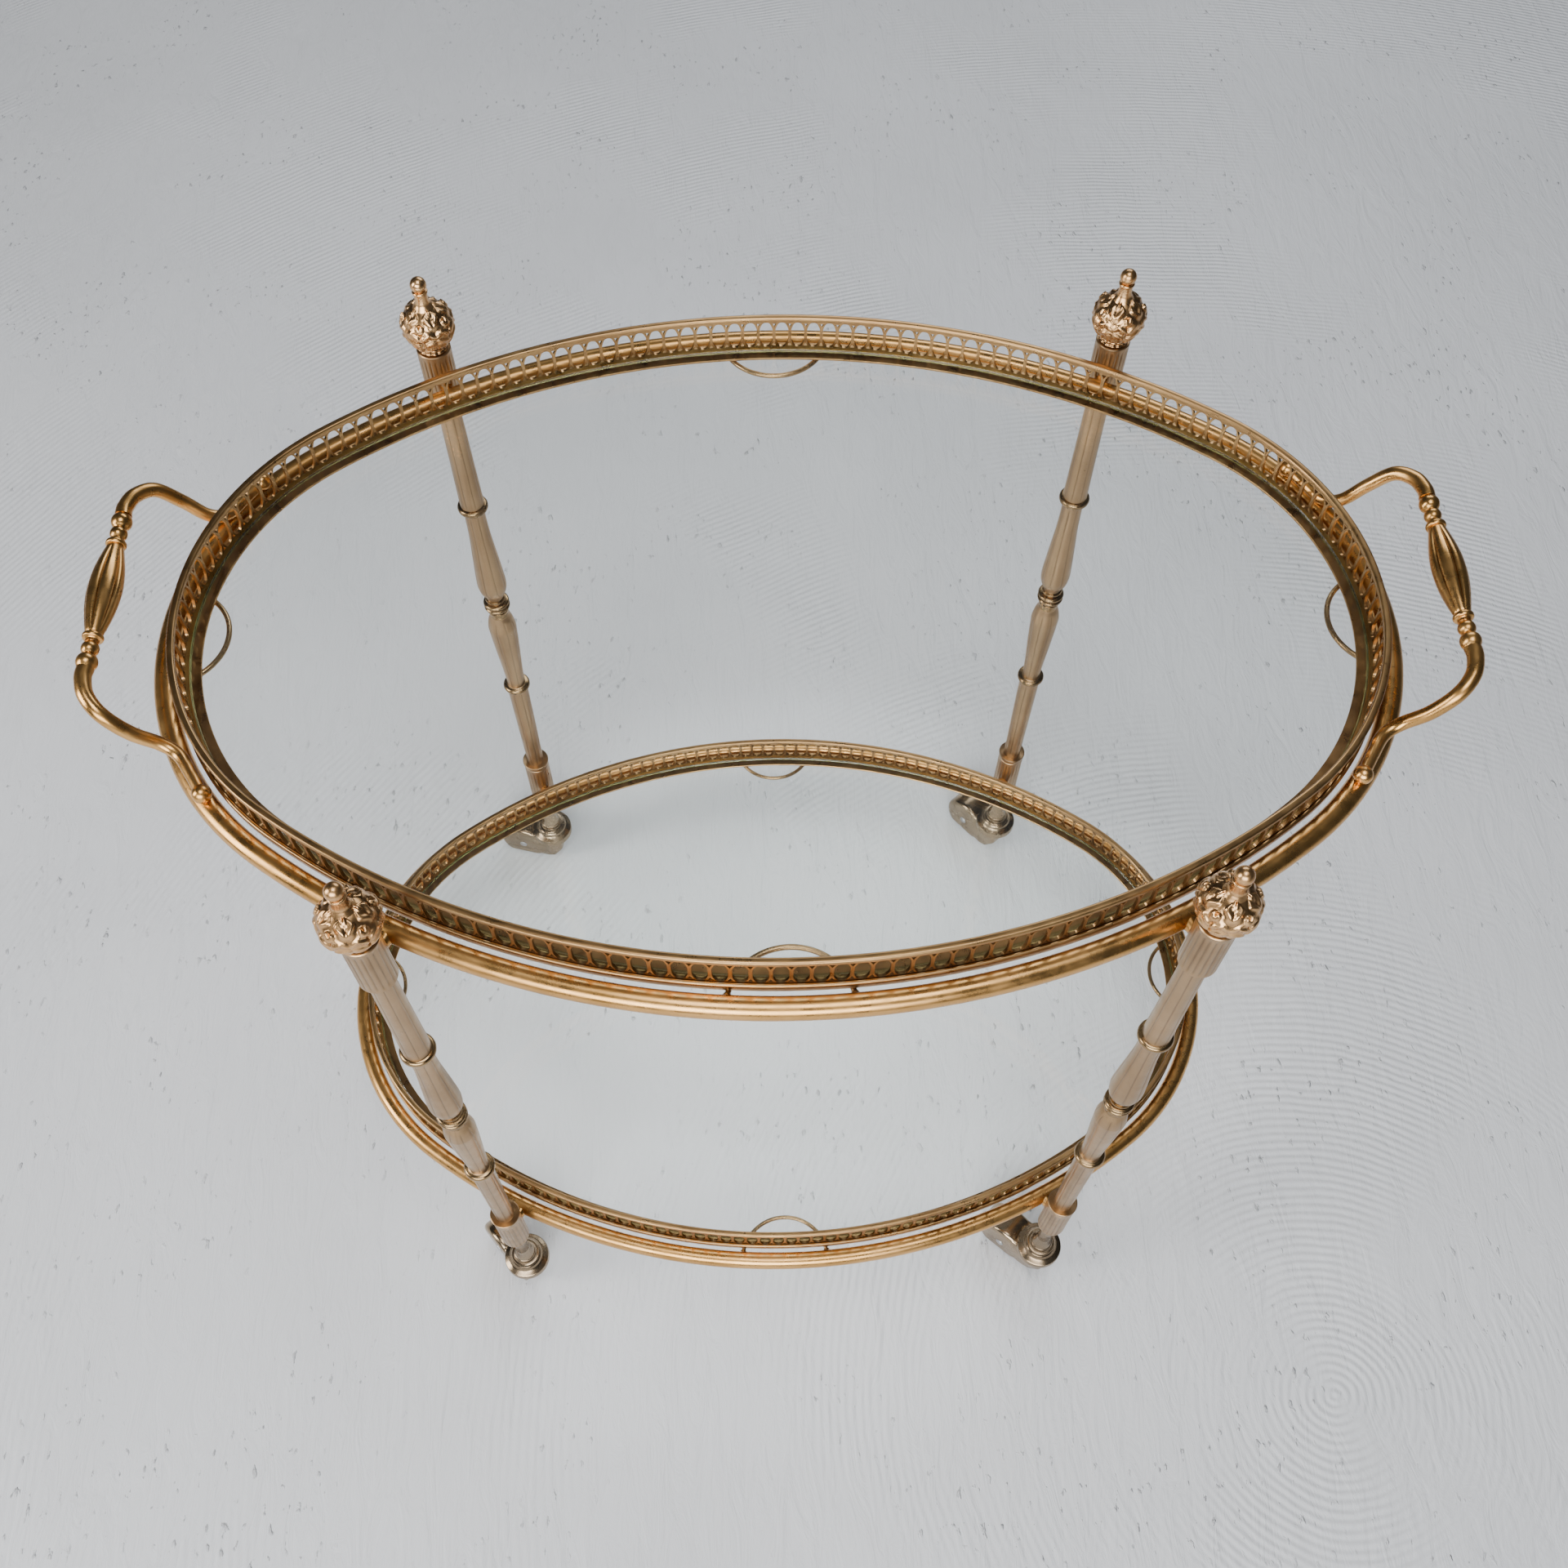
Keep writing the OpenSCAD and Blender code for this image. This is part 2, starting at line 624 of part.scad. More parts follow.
module caster_wheel(right, back) {
    round_off = 2;
    color(tread) at_caster(right, back) translate([trail, 0, wheel_r]) rotate([90, 0, 0])
        rotate_extrude() polygon([
            [axle_r + run_fit, -wheel_half - 0.7], [axle_r + 3, -wheel_half - 0.7],
            [axle_r + 3, -wheel_half], [wheel_r - round_off, -wheel_half],
            [wheel_r, -wheel_half + round_off], [wheel_r, wheel_half - round_off],
            [wheel_r - round_off, wheel_half], [axle_r + 3, wheel_half],
            [axle_r + 3, wheel_half + 0.7], [axle_r + run_fit, wheel_half + 0.7],
        ]);
}

frame_tube(upper_tube_z);  // frame_tube_upper
frame_tube(lower_tube_z);  // frame_tube_lower
hoops(upper_tube_z);  // hoops_upper
hoops(lower_tube_z);  // hoops_lower
lugs(upper_tube_z);  // lugs_upper
lugs(lower_tube_z);  // lugs_lower
gallery_lip(upper_rim_z);  // gallery_lip_upper
gallery_strip(upper_rim_z);  // gallery_strip_upper
tray_ledge(upper_rim_z);  // tray_ledge_upper
glass(upper_rim_z);  // glass_upper
gallery_lip(lower_rim_z);  // gallery_lip_lower
gallery_strip(lower_rim_z);  // gallery_strip_lower
tray_ledge(lower_rim_z);  // tray_ledge_lower
glass(lower_rim_z);  // glass_lower
finial(false, false);  // finial_front_left
finial(true, false);  // finial_front_right
finial(false, true);  // finial_back_left
finial(true, true);  // finial_back_right
top_collar(false, false);  // top_collar_front_left
top_collar(true, false);  // top_collar_front_right
top_collar(false, true);  // top_collar_back_left
top_collar(true, true);  // top_collar_back_right
shaft(false, false);  // shaft_front_left
shaft(true, false);  // shaft_front_right
shaft(false, true);  // shaft_back_left
shaft(true, true);  // shaft_back_right
foot_collar(false, false);  // foot_collar_front_left
foot_collar(true, false);  // foot_collar_front_right
foot_collar(false, true);  // foot_collar_back_left
foot_collar(true, true);  // foot_collar_back_right
tie_rod(false, false);  // tie_rod_front_left
tie_rod(true, false);  // tie_rod_front_right
tie_rod(false, true);  // tie_rod_back_left
tie_rod(true, true);  // tie_rod_back_right
handle_arms(false);  // handle_arms_left
handle_knobs(false);  // handle_knobs_left
handle_beads(false);  // handle_beads_left
handle_grip(false);  // handle_grip_left
handle_arms(true);  // handle_arms_right
handle_knobs(true);  // handle_knobs_right
handle_beads(true);  // handle_beads_right
handle_grip(true);  // handle_grip_right
caster_stem(false, false);  // caster_stem_front_left
caster_stem(true, false);  // caster_stem_front_right
caster_stem(false, true);  // caster_stem_back_left
caster_stem(true, true);  // caster_stem_back_right
caster_hood(false, false);  // caster_hood_front_left
caster_hood(true, false);  // caster_hood_front_right
caster_hood(false, true);  // caster_hood_back_left
caster_hood(true, true);  // caster_hood_back_right
caster_axle(false, false);  // caster_axle_front_left
caster_axle(true, false);  // caster_axle_front_right
caster_axle(false, true);  // caster_axle_back_left
caster_axle(true, true);  // caster_axle_back_right
caster_wheel(false, false);  // caster_wheel_front_left
caster_wheel(true, false);  // caster_wheel_front_right
caster_wheel(false, true);  // caster_wheel_back_left
caster_wheel(true, true);  // caster_wheel_back_right
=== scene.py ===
"""Looks of the oval drinks trolley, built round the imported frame. Shapes are made in millimetres."""

import json
import math

import bmesh
import bpy
from mathutils import Matrix, Vector
from mathutils.geometry import tessellate_polygon

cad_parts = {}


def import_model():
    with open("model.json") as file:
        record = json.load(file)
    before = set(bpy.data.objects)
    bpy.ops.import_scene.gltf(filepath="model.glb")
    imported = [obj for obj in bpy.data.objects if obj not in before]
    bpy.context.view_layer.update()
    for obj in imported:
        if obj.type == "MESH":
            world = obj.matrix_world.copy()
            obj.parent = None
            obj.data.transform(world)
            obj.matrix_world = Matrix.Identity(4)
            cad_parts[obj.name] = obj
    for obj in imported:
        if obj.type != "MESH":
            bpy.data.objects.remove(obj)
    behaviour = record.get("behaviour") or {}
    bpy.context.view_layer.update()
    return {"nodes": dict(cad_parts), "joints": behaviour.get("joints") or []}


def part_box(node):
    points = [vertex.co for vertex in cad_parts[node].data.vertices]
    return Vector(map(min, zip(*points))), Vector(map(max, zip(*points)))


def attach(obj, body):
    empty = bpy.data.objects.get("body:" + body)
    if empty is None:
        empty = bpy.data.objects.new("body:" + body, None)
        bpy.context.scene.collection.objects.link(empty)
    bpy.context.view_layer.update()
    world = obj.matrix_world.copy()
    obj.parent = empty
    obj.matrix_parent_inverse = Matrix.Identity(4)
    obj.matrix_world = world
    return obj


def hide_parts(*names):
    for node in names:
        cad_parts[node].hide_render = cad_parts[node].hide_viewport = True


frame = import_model()

MM = 0.001
TAU = 2 * math.pi
TIERS = ("upper", "lower")
POSTS = ("front_left", "front_right", "back_left", "back_right")
ENDS = ("left", "right")
STATIONS = 480  # places round the oval where a closed strip has its profile
POLE = 0.05  # radius of the small flat where a turned piece closes on its axis
FLOW_R = 8  # radius at which the way round a turned piece is mapped


def mm_box(node):
    """Lowest and highest corner of a CAD node, in millimetres."""
    low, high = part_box(node)
    return low / MM, high / MM


def middle(node):
    low, high = mm_box(node)
    return (low + high) / 2


# ---------------------------------------------------------------- materials


class Nodes:
    """Short ways to add and link shader nodes in one material."""

    def __init__(self, name):
        self.material = bpy.data.materials.new(name)
        self.material.use_nodes = True
        self.tree = self.material.node_tree
        self.tree.nodes.clear()
        self.out = self.tree.nodes.new("ShaderNodeOutputMaterial")

    def add(self, kind, **settings):
        node = self.tree.nodes.new("ShaderNode" + kind)
        for key, value in settings.items():
            setattr(node, key, value)
        return node

    def link(self, source, target):
        self.tree.links.new(source, target)

    def place(self, scale=(1, 1, 1), shift=(0, 0, 0)):
        """Object coordinates, stretched by scale and shifted."""
        coords = self.add("TexCoord")
        mapping = self.add("Mapping")
        mapping.inputs["Scale"].default_value = scale
        mapping.inputs["Location"].default_value = shift
        self.link(coords.outputs["Object"], mapping.inputs["Vector"])
        return mapping.outputs["Vector"]

    def along(self, scale):
        """Coordinates that run along and round a swept or turned piece."""
        coords = self.add("UVMap", uv_map="flow")
        mapping = self.add("Mapping")
        mapping.inputs["Scale"].default_value = scale
        self.link(coords.outputs["UV"], mapping.inputs["Vector"])
        return mapping.outputs["Vector"]

    def noise(self, vector, scale, detail=4, rough=0.55, distortion=0.0):
        node = self.add("TexNoise")
        node.inputs["Scale"].default_value = scale
        node.inputs["Detail"].default_value = detail
        node.inputs["Roughness"].default_value = rough
        node.inputs["Distortion"].default_value = distortion
        self.link(vector, node.inputs["Vector"])
        return node.outputs["Fac"]

    def ramp(self, fac, low, high, start=0.0, end=1.0):
        node = self.add("MapRange")
        node.inputs["From Min"].default_value = low
        node.inputs["From Max"].default_value = high
        node.inputs["To Min"].default_value = start
        node.inputs["To Max"].default_value = end
        self.link(fac, node.inputs["Value"])
        return node.outputs["Result"]

    def mix(self, fac, a, b):
        """Colour a to colour b; either may be a colour or a socket."""
        node = self.add("Mix", data_type="RGBA")
        self.link(fac, node.inputs["Factor"])
        for value, socket in ((a, node.inputs[6]), (b, node.inputs[7])):
            if isinstance(value, tuple):
                socket.default_value = (*value, 1)
            else:
                self.link(value, socket)
        return node.outputs[2]

    def maths(self, operation, a, b=None):
        node = self.add("Math", operation=operation)
        for value, socket in zip((a, b), node.inputs):
            if isinstance(value, (int, float)):
                socket.default_value = value
            elif value is not None:
                self.link(value, socket)
        return node.outputs[0]

    def bump(self, height, depth, normal=None):
        node = self.add("Bump")
        node.inputs["Strength"].default_value = 1.0
        node.inputs["Distance"].default_value = depth
        self.link(height, node.inputs["Height"])
        if normal is not None:
            self.link(normal, node.inputs["Normal"])
        return node.outputs["Normal"]

    def groove(self):
        """How much painted shade a point gets in a groove or hollow, from 0 to 1, as the mesh says."""
        return self.add("Attribute", attribute_name="groove").outputs["Fac"]


def metal(name, light, dark, tarnish, rough, streak=(3, 70, 1), wear=0.5, spots=0.0):
    """Aged metal: two close tones, streaks of tarnish along the piece, painted shade in grooves and
    hollows, and fine scratches.
    """
    m = Nodes(name)
    shader = m.add("BsdfPrincipled")
    shader.inputs["Metallic"].default_value = 1.0
    solid = m.place()
    tone = m.ramp(m.noise(solid, 22, 5), 0.35, 0.68)
    streaks = m.ramp(m.noise(m.along(streak), 1.6, 6, 0.6, 0.3), 0.50, 0.74)
    cloud = m.ramp(m.noise(solid, 9, 4), 0.42, 0.62)
    patina = m.maths("MULTIPLY", m.maths("MULTIPLY", streaks, cloud), wear)
    colour = m.mix(tone, light, dark)
    colour = m.mix(patina, colour, tarnish)
    if spots:
        speck = m.ramp(m.noise(solid, 420, 3, 0.6), 0.66, 0.74)
        patch = m.ramp(m.noise(solid, 30, 3), 0.52, 0.66)
        colour = m.mix(m.maths("MULTIPLY", m.maths("MULTIPLY", speck, patch), spots), colour, tarnish)
    # Painted shade: grooves and the hollows between leaves are darkened towards a deep tarnish tone.
    painted_groove_shade = m.maths("POWER", m.groove(), 0.8)
    colour = m.mix(painted_groove_shade, colour, tuple(0.22 * c for c in tarnish))
    m.link(colour, shader.inputs["Base Color"])
    grain = m.noise(solid, 90, 6, 0.65)
    rough_grain = m.ramp(grain, 0.3, 0.7, rough - 0.06, rough + 0.10)
    roughness = m.maths("ADD", rough_grain, m.maths("MULTIPLY", patina, 0.18))
    m.link(roughness, shader.inputs["Roughness"])
    scratches = m.noise(m.along((30, 1500, 1)), 1.0, 3, 0.6)
    dents = m.noise(solid, 60, 3, 0.5)
    normal = m.bump(dents, 0.00004)
    m.link(m.bump(scratches, 0.000022, normal), shader.inputs["Normal"])
    m.link(shader.outputs["BSDF"], m.out.inputs["Surface"])
    return m.material


def glass_material(name, tint, rough):
    """Clear glass that lets lamp light through."""
    m = Nodes(name)
    shader = m.add("BsdfPrincipled")
    shader.inputs["Base Color"].default_value = (*tint, 1)
    shader.inputs["Transmission Weight"].default_value = 1.0
    shader.inputs["IOR"].default_value = 1.5
    smudge = m.noise(m.place(), 6, 5, 0.6)
    m.link(m.ramp(smudge, 0.45, 0.8, rough, rough + 0.03), shader.inputs["Roughness"])
    clear = m.add("BsdfTransparent")
    clear.inputs["Color"].default_value = (*(0.5 + 0.5 * c for c in tint), 1)
    path = m.add("LightPath")
    mixed = m.add("MixShader")
    m.link(path.outputs["Is Shadow Ray"], mixed.inputs["Fac"])
    m.link(shader.outputs["BSDF"], mixed.inputs[1])
    m.link(clear.outputs["BSDF"], mixed.inputs[2])
    m.link(mixed.outputs["Shader"], m.out.inputs["Surface"])
    return m.material


def tread_material():
    """Dark hard rubber, dusty in its pores."""
    m = Nodes("tread")
    shader = m.add("BsdfPrincipled")
    solid = m.place()
    dust = m.ramp(m.noise(solid, 70, 5, 0.6), 0.45, 0.75)
    m.link(m.mix(dust, (0.028, 0.026, 0.025), (0.12, 0.11, 0.10)), shader.inputs["Base Color"])
    m.link(m.ramp(dust, 0, 1, 0.5, 0.8), shader.inputs["Roughness"])
    m.link(m.bump(m.noise(solid, 600, 3), 0.00008), shader.inputs["Normal"])
    m.link(shader.outputs["BSDF"], m.out.inputs["Surface"])
    return m.material


def floor_material():
    """Pale trowelled plaster with fine arcs of ridges and small pits."""
    m = Nodes("floor_plaster")
    shader = m.add("BsdfPrincipled")
    solid = m.place()
    tone = m.ramp(m.noise(solid, 2.2, 4), 0.3, 0.7)
    pits = m.ramp(m.noise(m.place((1.0, 0.45, 1.0)), 170, 3, 0.5), 0.64, 0.72)
    patch = m.ramp(m.noise(solid, 7, 3), 0.46, 0.6)
    marks = m.maths("MULTIPLY", pits, patch)
    pale = m.mix(tone, (0.64, 0.65, 0.67), (0.72, 0.73, 0.75))
    m.link(m.mix(m.maths("MULTIPLY", marks, 0.5), pale, (0.32, 0.32, 0.33)), shader.inputs["Base Color"])
    shader.inputs["Roughness"].default_value = 0.5
    ridges = m.add("TexWave", wave_type="RINGS", rings_direction="SPHERICAL")
    ridges.inputs["Scale"].default_value = 48
    ridges.inputs["Distortion"].default_value = 5.0
    ridges.inputs["Detail"].default_value = 3.0
    ridges.inputs["Detail Scale"].default_value = 0.25
    m.link(m.place(shift=(-0.42, 0.30, 0)), ridges.inputs["Vector"])
    worked = m.ramp(m.noise(solid, 3.2, 2), 0.47, 0.62)
    swirl = m.noise(m.place((1.0, 0.25, 1.0)), 60, 6, 0.6, 1.2)
    normal = m.bump(swirl, 0.0018)
    normal = m.bump(m.maths("MULTIPLY", ridges.outputs["Fac"], worked), 0.0005, normal)
    m.link(m.bump(marks, 0.0012, normal), shader.inputs["Normal"])
    m.link(shader.outputs["BSDF"], m.out.inputs["Surface"])
    return m.material


FRAME_BRASS = metal(
    "frame_brass", light=(0.70, 0.395, 0.14), dark=(0.52, 0.28, 0.085), tarnish=(0.22, 0.10, 0.035),
    rough=0.27, wear=0.5)
TRAY_BRASS = metal(
    "tray_brass", light=(0.46, 0.28, 0.12), dark=(0.33, 0.19, 0.08), tarnish=(0.14, 0.075, 0.035),
    rough=0.30, wear=0.5)
POST_BRASS = metal(
    "post_brass", light=(0.43, 0.285, 0.155), dark=(0.34, 0.22, 0.115), tarnish=(0.12, 0.07, 0.035),
    rough=0.33, streak=(3, 120, 1), wear=0.6, spots=1.0)
RING_BRASS = metal(
    "ring_brass", light=(0.36, 0.24, 0.12), dark=(0.24, 0.15, 0.07), tarnish=(0.08, 0.05, 0.025),
    rough=0.22, wear=0.9)
FINIAL_BRASS = metal(
    "finial_brass", light=(0.68, 0.41, 0.19), dark=(0.52, 0.29, 0.12), tarnish=(0.24, 0.11, 0.05),
    rough=0.25, wear=0.35)
CASTER_BRONZE = metal(
    "caster_bronze", light=(0.38, 0.29, 0.19), dark=(0.26, 0.19, 0.12), tarnish=(0.10, 0.07, 0.045),
    rough=0.22, wear=0.7, spots=0.4)
STEEL = metal(
    "plain_steel", light=(0.55, 0.55, 0.56), dark=(0.42, 0.42, 0.43), tarnish=(0.16, 0.12, 0.09),
    rough=0.32, wear=0.5)
GLASS = glass_material("clear_glass", tint=(0.975, 0.992, 0.985), rough=0.0)
GLASS_EDGE = glass_material("green_glass_edge", tint=(0.50, 0.78, 0.64), rough=0.12)
TREAD = tread_material()


# ---------------------------------------------------------------- mesh helpers


class Shape:
    """Vertices in millimetres, each with an amount of painted shade for grooves and hollows and a place on
    the map along and round the piece, and faces, each with the number of its material."""

    def __init__(self):
        self.verts, self.faces, self.grooves, self.flow = [], [], [], []
        self.tints = []

    def vert(self, place, groove=0.0, flow=(0.0, 0.0)):
        self.verts.append(Vector(place))
        self.grooves.append(groove)
        self.flow.append(flow)
        return len(self.verts) - 1

    def face(self, *indices, tint=0):
        self.faces.append(indices)
        self.tints.append(tint)

    def add(self, other, matrix=None):
        """Takes in another shape, moved by a matrix."""
        start = len(self.verts)
        self.verts += [matrix @ v if matrix else v.copy() for v in other.verts]
        self.grooves += other.grooves
        self.flow += other.flow
        self.faces += [tuple(i + start for i in f) for f in other.faces]
        self.tints += other.tints
        return self

    def build(self, name, body, materials, slot, nodes, sharp=38):
        """Makes the object, in metres, hangs it on the empty of the body it rides and hides the CAD nodes
        it stands for.
        """
        mesh = bpy.data.meshes.new(name)
        mesh.from_pydata([v * MM for v in self.verts], [], self.faces)
        # Each vertex's painted shade for grooves and hollows goes into the mesh as an attribute.
        depth = mesh.attributes.new("groove", "FLOAT", "POINT")
        depth.data.foreach_set("value", self.grooves)
        flow = mesh.uv_layers.new(name="flow")
        for loop in mesh.loops:
            u, v = self.flow[loop.vertex_index]
            flow.data[loop.index].uv = (u * MM, v * MM)
        mesh.polygons.foreach_set("material_index", self.tints)
        work = bmesh.new()
        work.from_mesh(mesh)
        bmesh.ops.recalc_face_normals(work, faces=work.faces)
        work.to_mesh(mesh)
        work.free()
        for material in materials:
            mesh.materials.append(material)
        mesh.polygons.foreach_set("use_smooth", [True] * len(mesh.polygons))
        mesh.set_sharp_from_angle(angle=math.radians(sharp))
        made = bpy.data.objects.new(name, mesh)
        bpy.context.scene.collection.objects.link(made)
        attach(made, body)
        if nodes:
            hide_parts(*nodes)
        return made


def smooth_line(points, steps):
    """Points on a smooth curve through the given ones."""
    line = []
    last = len(points) - 1
    for i in range(last):
        a, b = Vector(points[max(i - 1, 0)]), Vector(points[i])
        c, d = Vector(points[i + 1]), Vector(points[min(i + 2, last)])
        for s in range(steps):
            t = s / steps
            line.append((2 * b + (c - a) * t + (2 * a - 5 * b + 4 * c - d) * t * t
                         + (3 * b - a - 3 * c + d) * t ** 3) / 2)
    line.append(Vector(points[last]))
    return line


def bell(x, width):
    return math.exp(-(x / width) ** 2)


def bead(radius, low, high, base, steps=10):
    """Outline of a rounded ring between two heights, standing out from base to radius."""
    centre, half = (low + high) / 2, (high - low) / 2
    return [(base + (radius - base) * math.sin(math.pi * i / steps) ** 0.7,
             centre - half * math.cos(math.pi * i / steps)) for i in range(steps + 1)]


def curve(points, steps=8):
    """Outline points on a smooth line through (radius, height) points."""
    return [(p[0], p[1]) for p in smooth_line([(r, z, 0) for r, z in points], steps)]


def turned(outline, sides=72, relief=None):
    """A piece turned round Z from a (radius, height) outline that runs upwards. relief gives, for an angle
    and a height, how far the surface sinks and how much painted shade its groove gets."""
    shape = Shape()
    length = 0.0
    last = Vector((*outline[0], 0))
    rings = []
    for r, z in outline:
        length += (Vector((r, z, 0)) - last).length
        last = Vector((r, z, 0))
        ring = []
        for s in range(sides):
            turn = TAU * s / sides
            # The relief's second value is how much painted shade the point gets.
            sink, groove = relief(turn, z) if relief else (0, 0)
            reach = max(r - sink, POLE)
            ring.append(shape.vert((reach * math.cos(turn), reach * math.sin(turn), z), groove,
                                   (length, turn * FLOW_R)))
        rings.append(ring)
    for low, high in zip(rings, rings[1:]):
        for s in range(sides):
            t = (s + 1) % sides
            shape.face(low[s], low[t], high[t], high[s])
    shape.face(*reversed(rings[0]))
    shape.face(*rings[-1])
    return shape


def swept(line, radii, sides=24):
    """A round bar along a line of points, closed at both ends."""
    shape = Shape()
    rings, run = [], 0.0
    for i, place in enumerate(line):
        ahead = (line[min(i + 1, len(line) - 1)] - line[max(i - 1, 0)]).normalized()
        across = ahead.cross(Vector((0, 0, 1))).normalized()
        up = across.cross(ahead)
        if i:
            run += (place - line[i - 1]).length
        ring = []
        for s in range(sides):
            turn = TAU * s / sides
            ring.append(shape.vert(place + radii[i] * (math.cos(turn) * across + math.sin(turn) * up),
                                   0, (run, turn * radii[i])))
        rings.append(ring)
    for a, b in zip(rings, rings[1:]):
        for s in range(sides):
            t = (s + 1) % sides
            shape.face(a[s], a[t], b[t], b[s])
    shape.face(*reversed(rings[0]))
    shape.face(*rings[-1])
    return shape


def ball(radius, place=(0, 0, 0), squash=1.0, sides=32):
    """A ball, or a flattened one, round a place."""
    steps = 20
    outline = [(radius * math.sin(math.pi * i / steps), -radius * squash * math.cos(math.pi * i / steps))
               for i in range(steps + 1)]
    outline[0] = (POLE, outline[0][1])
    outline[-1] = (POLE, outline[-1][1])
    return Shape().add(turned(outline, sides), Matrix.Translation(place))


# ---------------------------------------------------------------- the oval


class Oval:
    """The middle line of a frame tube: two end arcs and two side arcs that meet on a 3-4-5 triangle."""

    def __init__(self, node):
        low, high = mm_box(node)
        self.tube_r = (high.z - low.z) / 2
        self.z = (high.z + low.z) / 2
        self.half_length = high.x - self.tube_r
        self.half_width = high.y - self.tube_r
        self.end_c = 1.5 * (self.half_length - self.half_width)
        self.side_c = 2 * (self.half_length - self.half_width)
        self.end_r = self.half_length - self.end_c
        self.side_r = self.half_width + self.side_c
        self.seam = math.asin(0.8)

    def at(self, turn, out=0.0):
        """Point on the line moved outwards, where the oval's normal has this direction."""
        c, s = math.cos(turn), math.sin(turn)
        if abs(s) < math.sin(self.seam):
            return (math.copysign(self.end_c, c) + (self.end_r + out) * c, (self.end_r + out) * s)
        return ((self.side_r + out) * c, (self.side_r + out) * s - math.copysign(self.side_c, s))

    def quarter(self, out=0.0):
        return (self.end_r + out) * self.seam + (self.side_r + out) * (math.pi / 2 - self.seam)

    def turn_at(self, run, out=0.0):
        """Direction of the normal at a length along the line, counted from the right end."""
        quarter = self.quarter(out)
        index, rest = int(run // quarter), run % quarter
        if index % 2:
            rest = quarter - rest
        end_len = (self.end_r + out) * self.seam
        if rest < end_len:
            turn = rest / (self.end_r + out)
        else:
            turn = self.seam + (rest - end_len) / (self.side_r + out)
        return (turn, math.pi - turn, math.pi + turn, TAU - turn)[index % 4]


def moulding(oval, z, profile):
    """A closed strip round the oval from a closed profile of (outwards, upwards) points."""
    shape = Shape()
    total = 4 * oval.quarter()
    count = len(profile)
    around = [0.0]
    for a, b in zip(profile, profile[1:]):
        around.append(around[-1] + math.dist(a, b))
    for i in range(STATIONS):
        run = total * i / STATIONS
        turn = oval.turn_at(run)
        for j, (out, up) in enumerate(profile):
            x, y = oval.at(turn, out)
            shape.vert((x, y, z + up), 0, (run, around[j]))
    for i in range(STATIONS):
        k = (i + 1) % STATIONS
        for j in range(count):
            t = (j + 1) % count
            shape.face(i * count + j, k * count + j, k * count + t, i * count + t)
    return shape


def rounded(low_out, high_out, low, high, radius, steps=4):
    """Closed profile of a bar with rounded corners."""
    corners = ((high_out, low, -90), (high_out, high, 0), (low_out, high, 90), (low_out, low, 180))
    points = []
    for out, up, start in corners:
        cx = out - radius if out == high_out else out + radius
        cy = up - radius if up == high else up + radius
        for i in range(steps + 1):
            angle = math.radians(start + 90 * i / steps)
            points.append((cx + radius * math.cos(angle), cy + radius * math.sin(angle)))
    return points


# ---------------------------------------------------------------- frame tubes and trays

TUBE = {tier: Oval(f"frame_tube_{tier}") for tier in TIERS}


def frame_tube(tier):
    oval = TUBE[tier]
    sides = 28
    profile = [(oval.tube_r * math.sin(TAU * i / sides), -oval.tube_r * math.cos(TAU * i / sides))
               for i in range(sides)]
    shape = moulding(oval, oval.z, profile)
    shape.build(f"frame_tube_{tier}_brass", "frame", [FRAME_BRASS], "frame_brass", [f"frame_tube_{tier}"])


def out_of(oval, node):
    """How far the outer edge of a ring node lies outwards of the tube's middle line."""
    return mm_box(node)[1].x - oval.half_length


def gallery_lip(tier):
    oval, node = TUBE[tier], f"gallery_lip_{tier}"
    low, high = mm_box(node)
    out = out_of(oval, node)
    width = 4.0
    profile = rounded(out - width, out, 0, high.z - low.z, 1.2)
    shape = moulding(oval, low.z, profile)
    shape.build(f"gallery_lip_{tier}_brass", f"{tier}_tray", [TRAY_BRASS], "frame_brass", [node])


def opening(half_wide, half_high, corner, steps=4):
    """Outline of one pierced opening: a tall rounded octagon."""
    points = []
    shoulder = half_high * 0.5
    ring = [(half_wide, -shoulder), (half_wide, shoulder), (half_wide * 0.5, half_high),
            (-half_wide * 0.5, half_high), (-half_wide, shoulder), (-half_wide, -shoulder),
            (-half_wide * 0.5, -half_high), (half_wide * 0.5, -half_high)]
    for i, here in enumerate(ring):
        before, after = Vector(ring[i - 1]), Vector(ring[(i + 1) % len(ring)])
        here = Vector(here)
        start = here + (before - here).normalized() * corner
        stop = here + (after - here).normalized() * corner
        for s in range(steps + 1):
            t = s / steps
            points.append((1 - t) ** 2 * start + 2 * t * (1 - t) * here + t * t * stop)
    return points


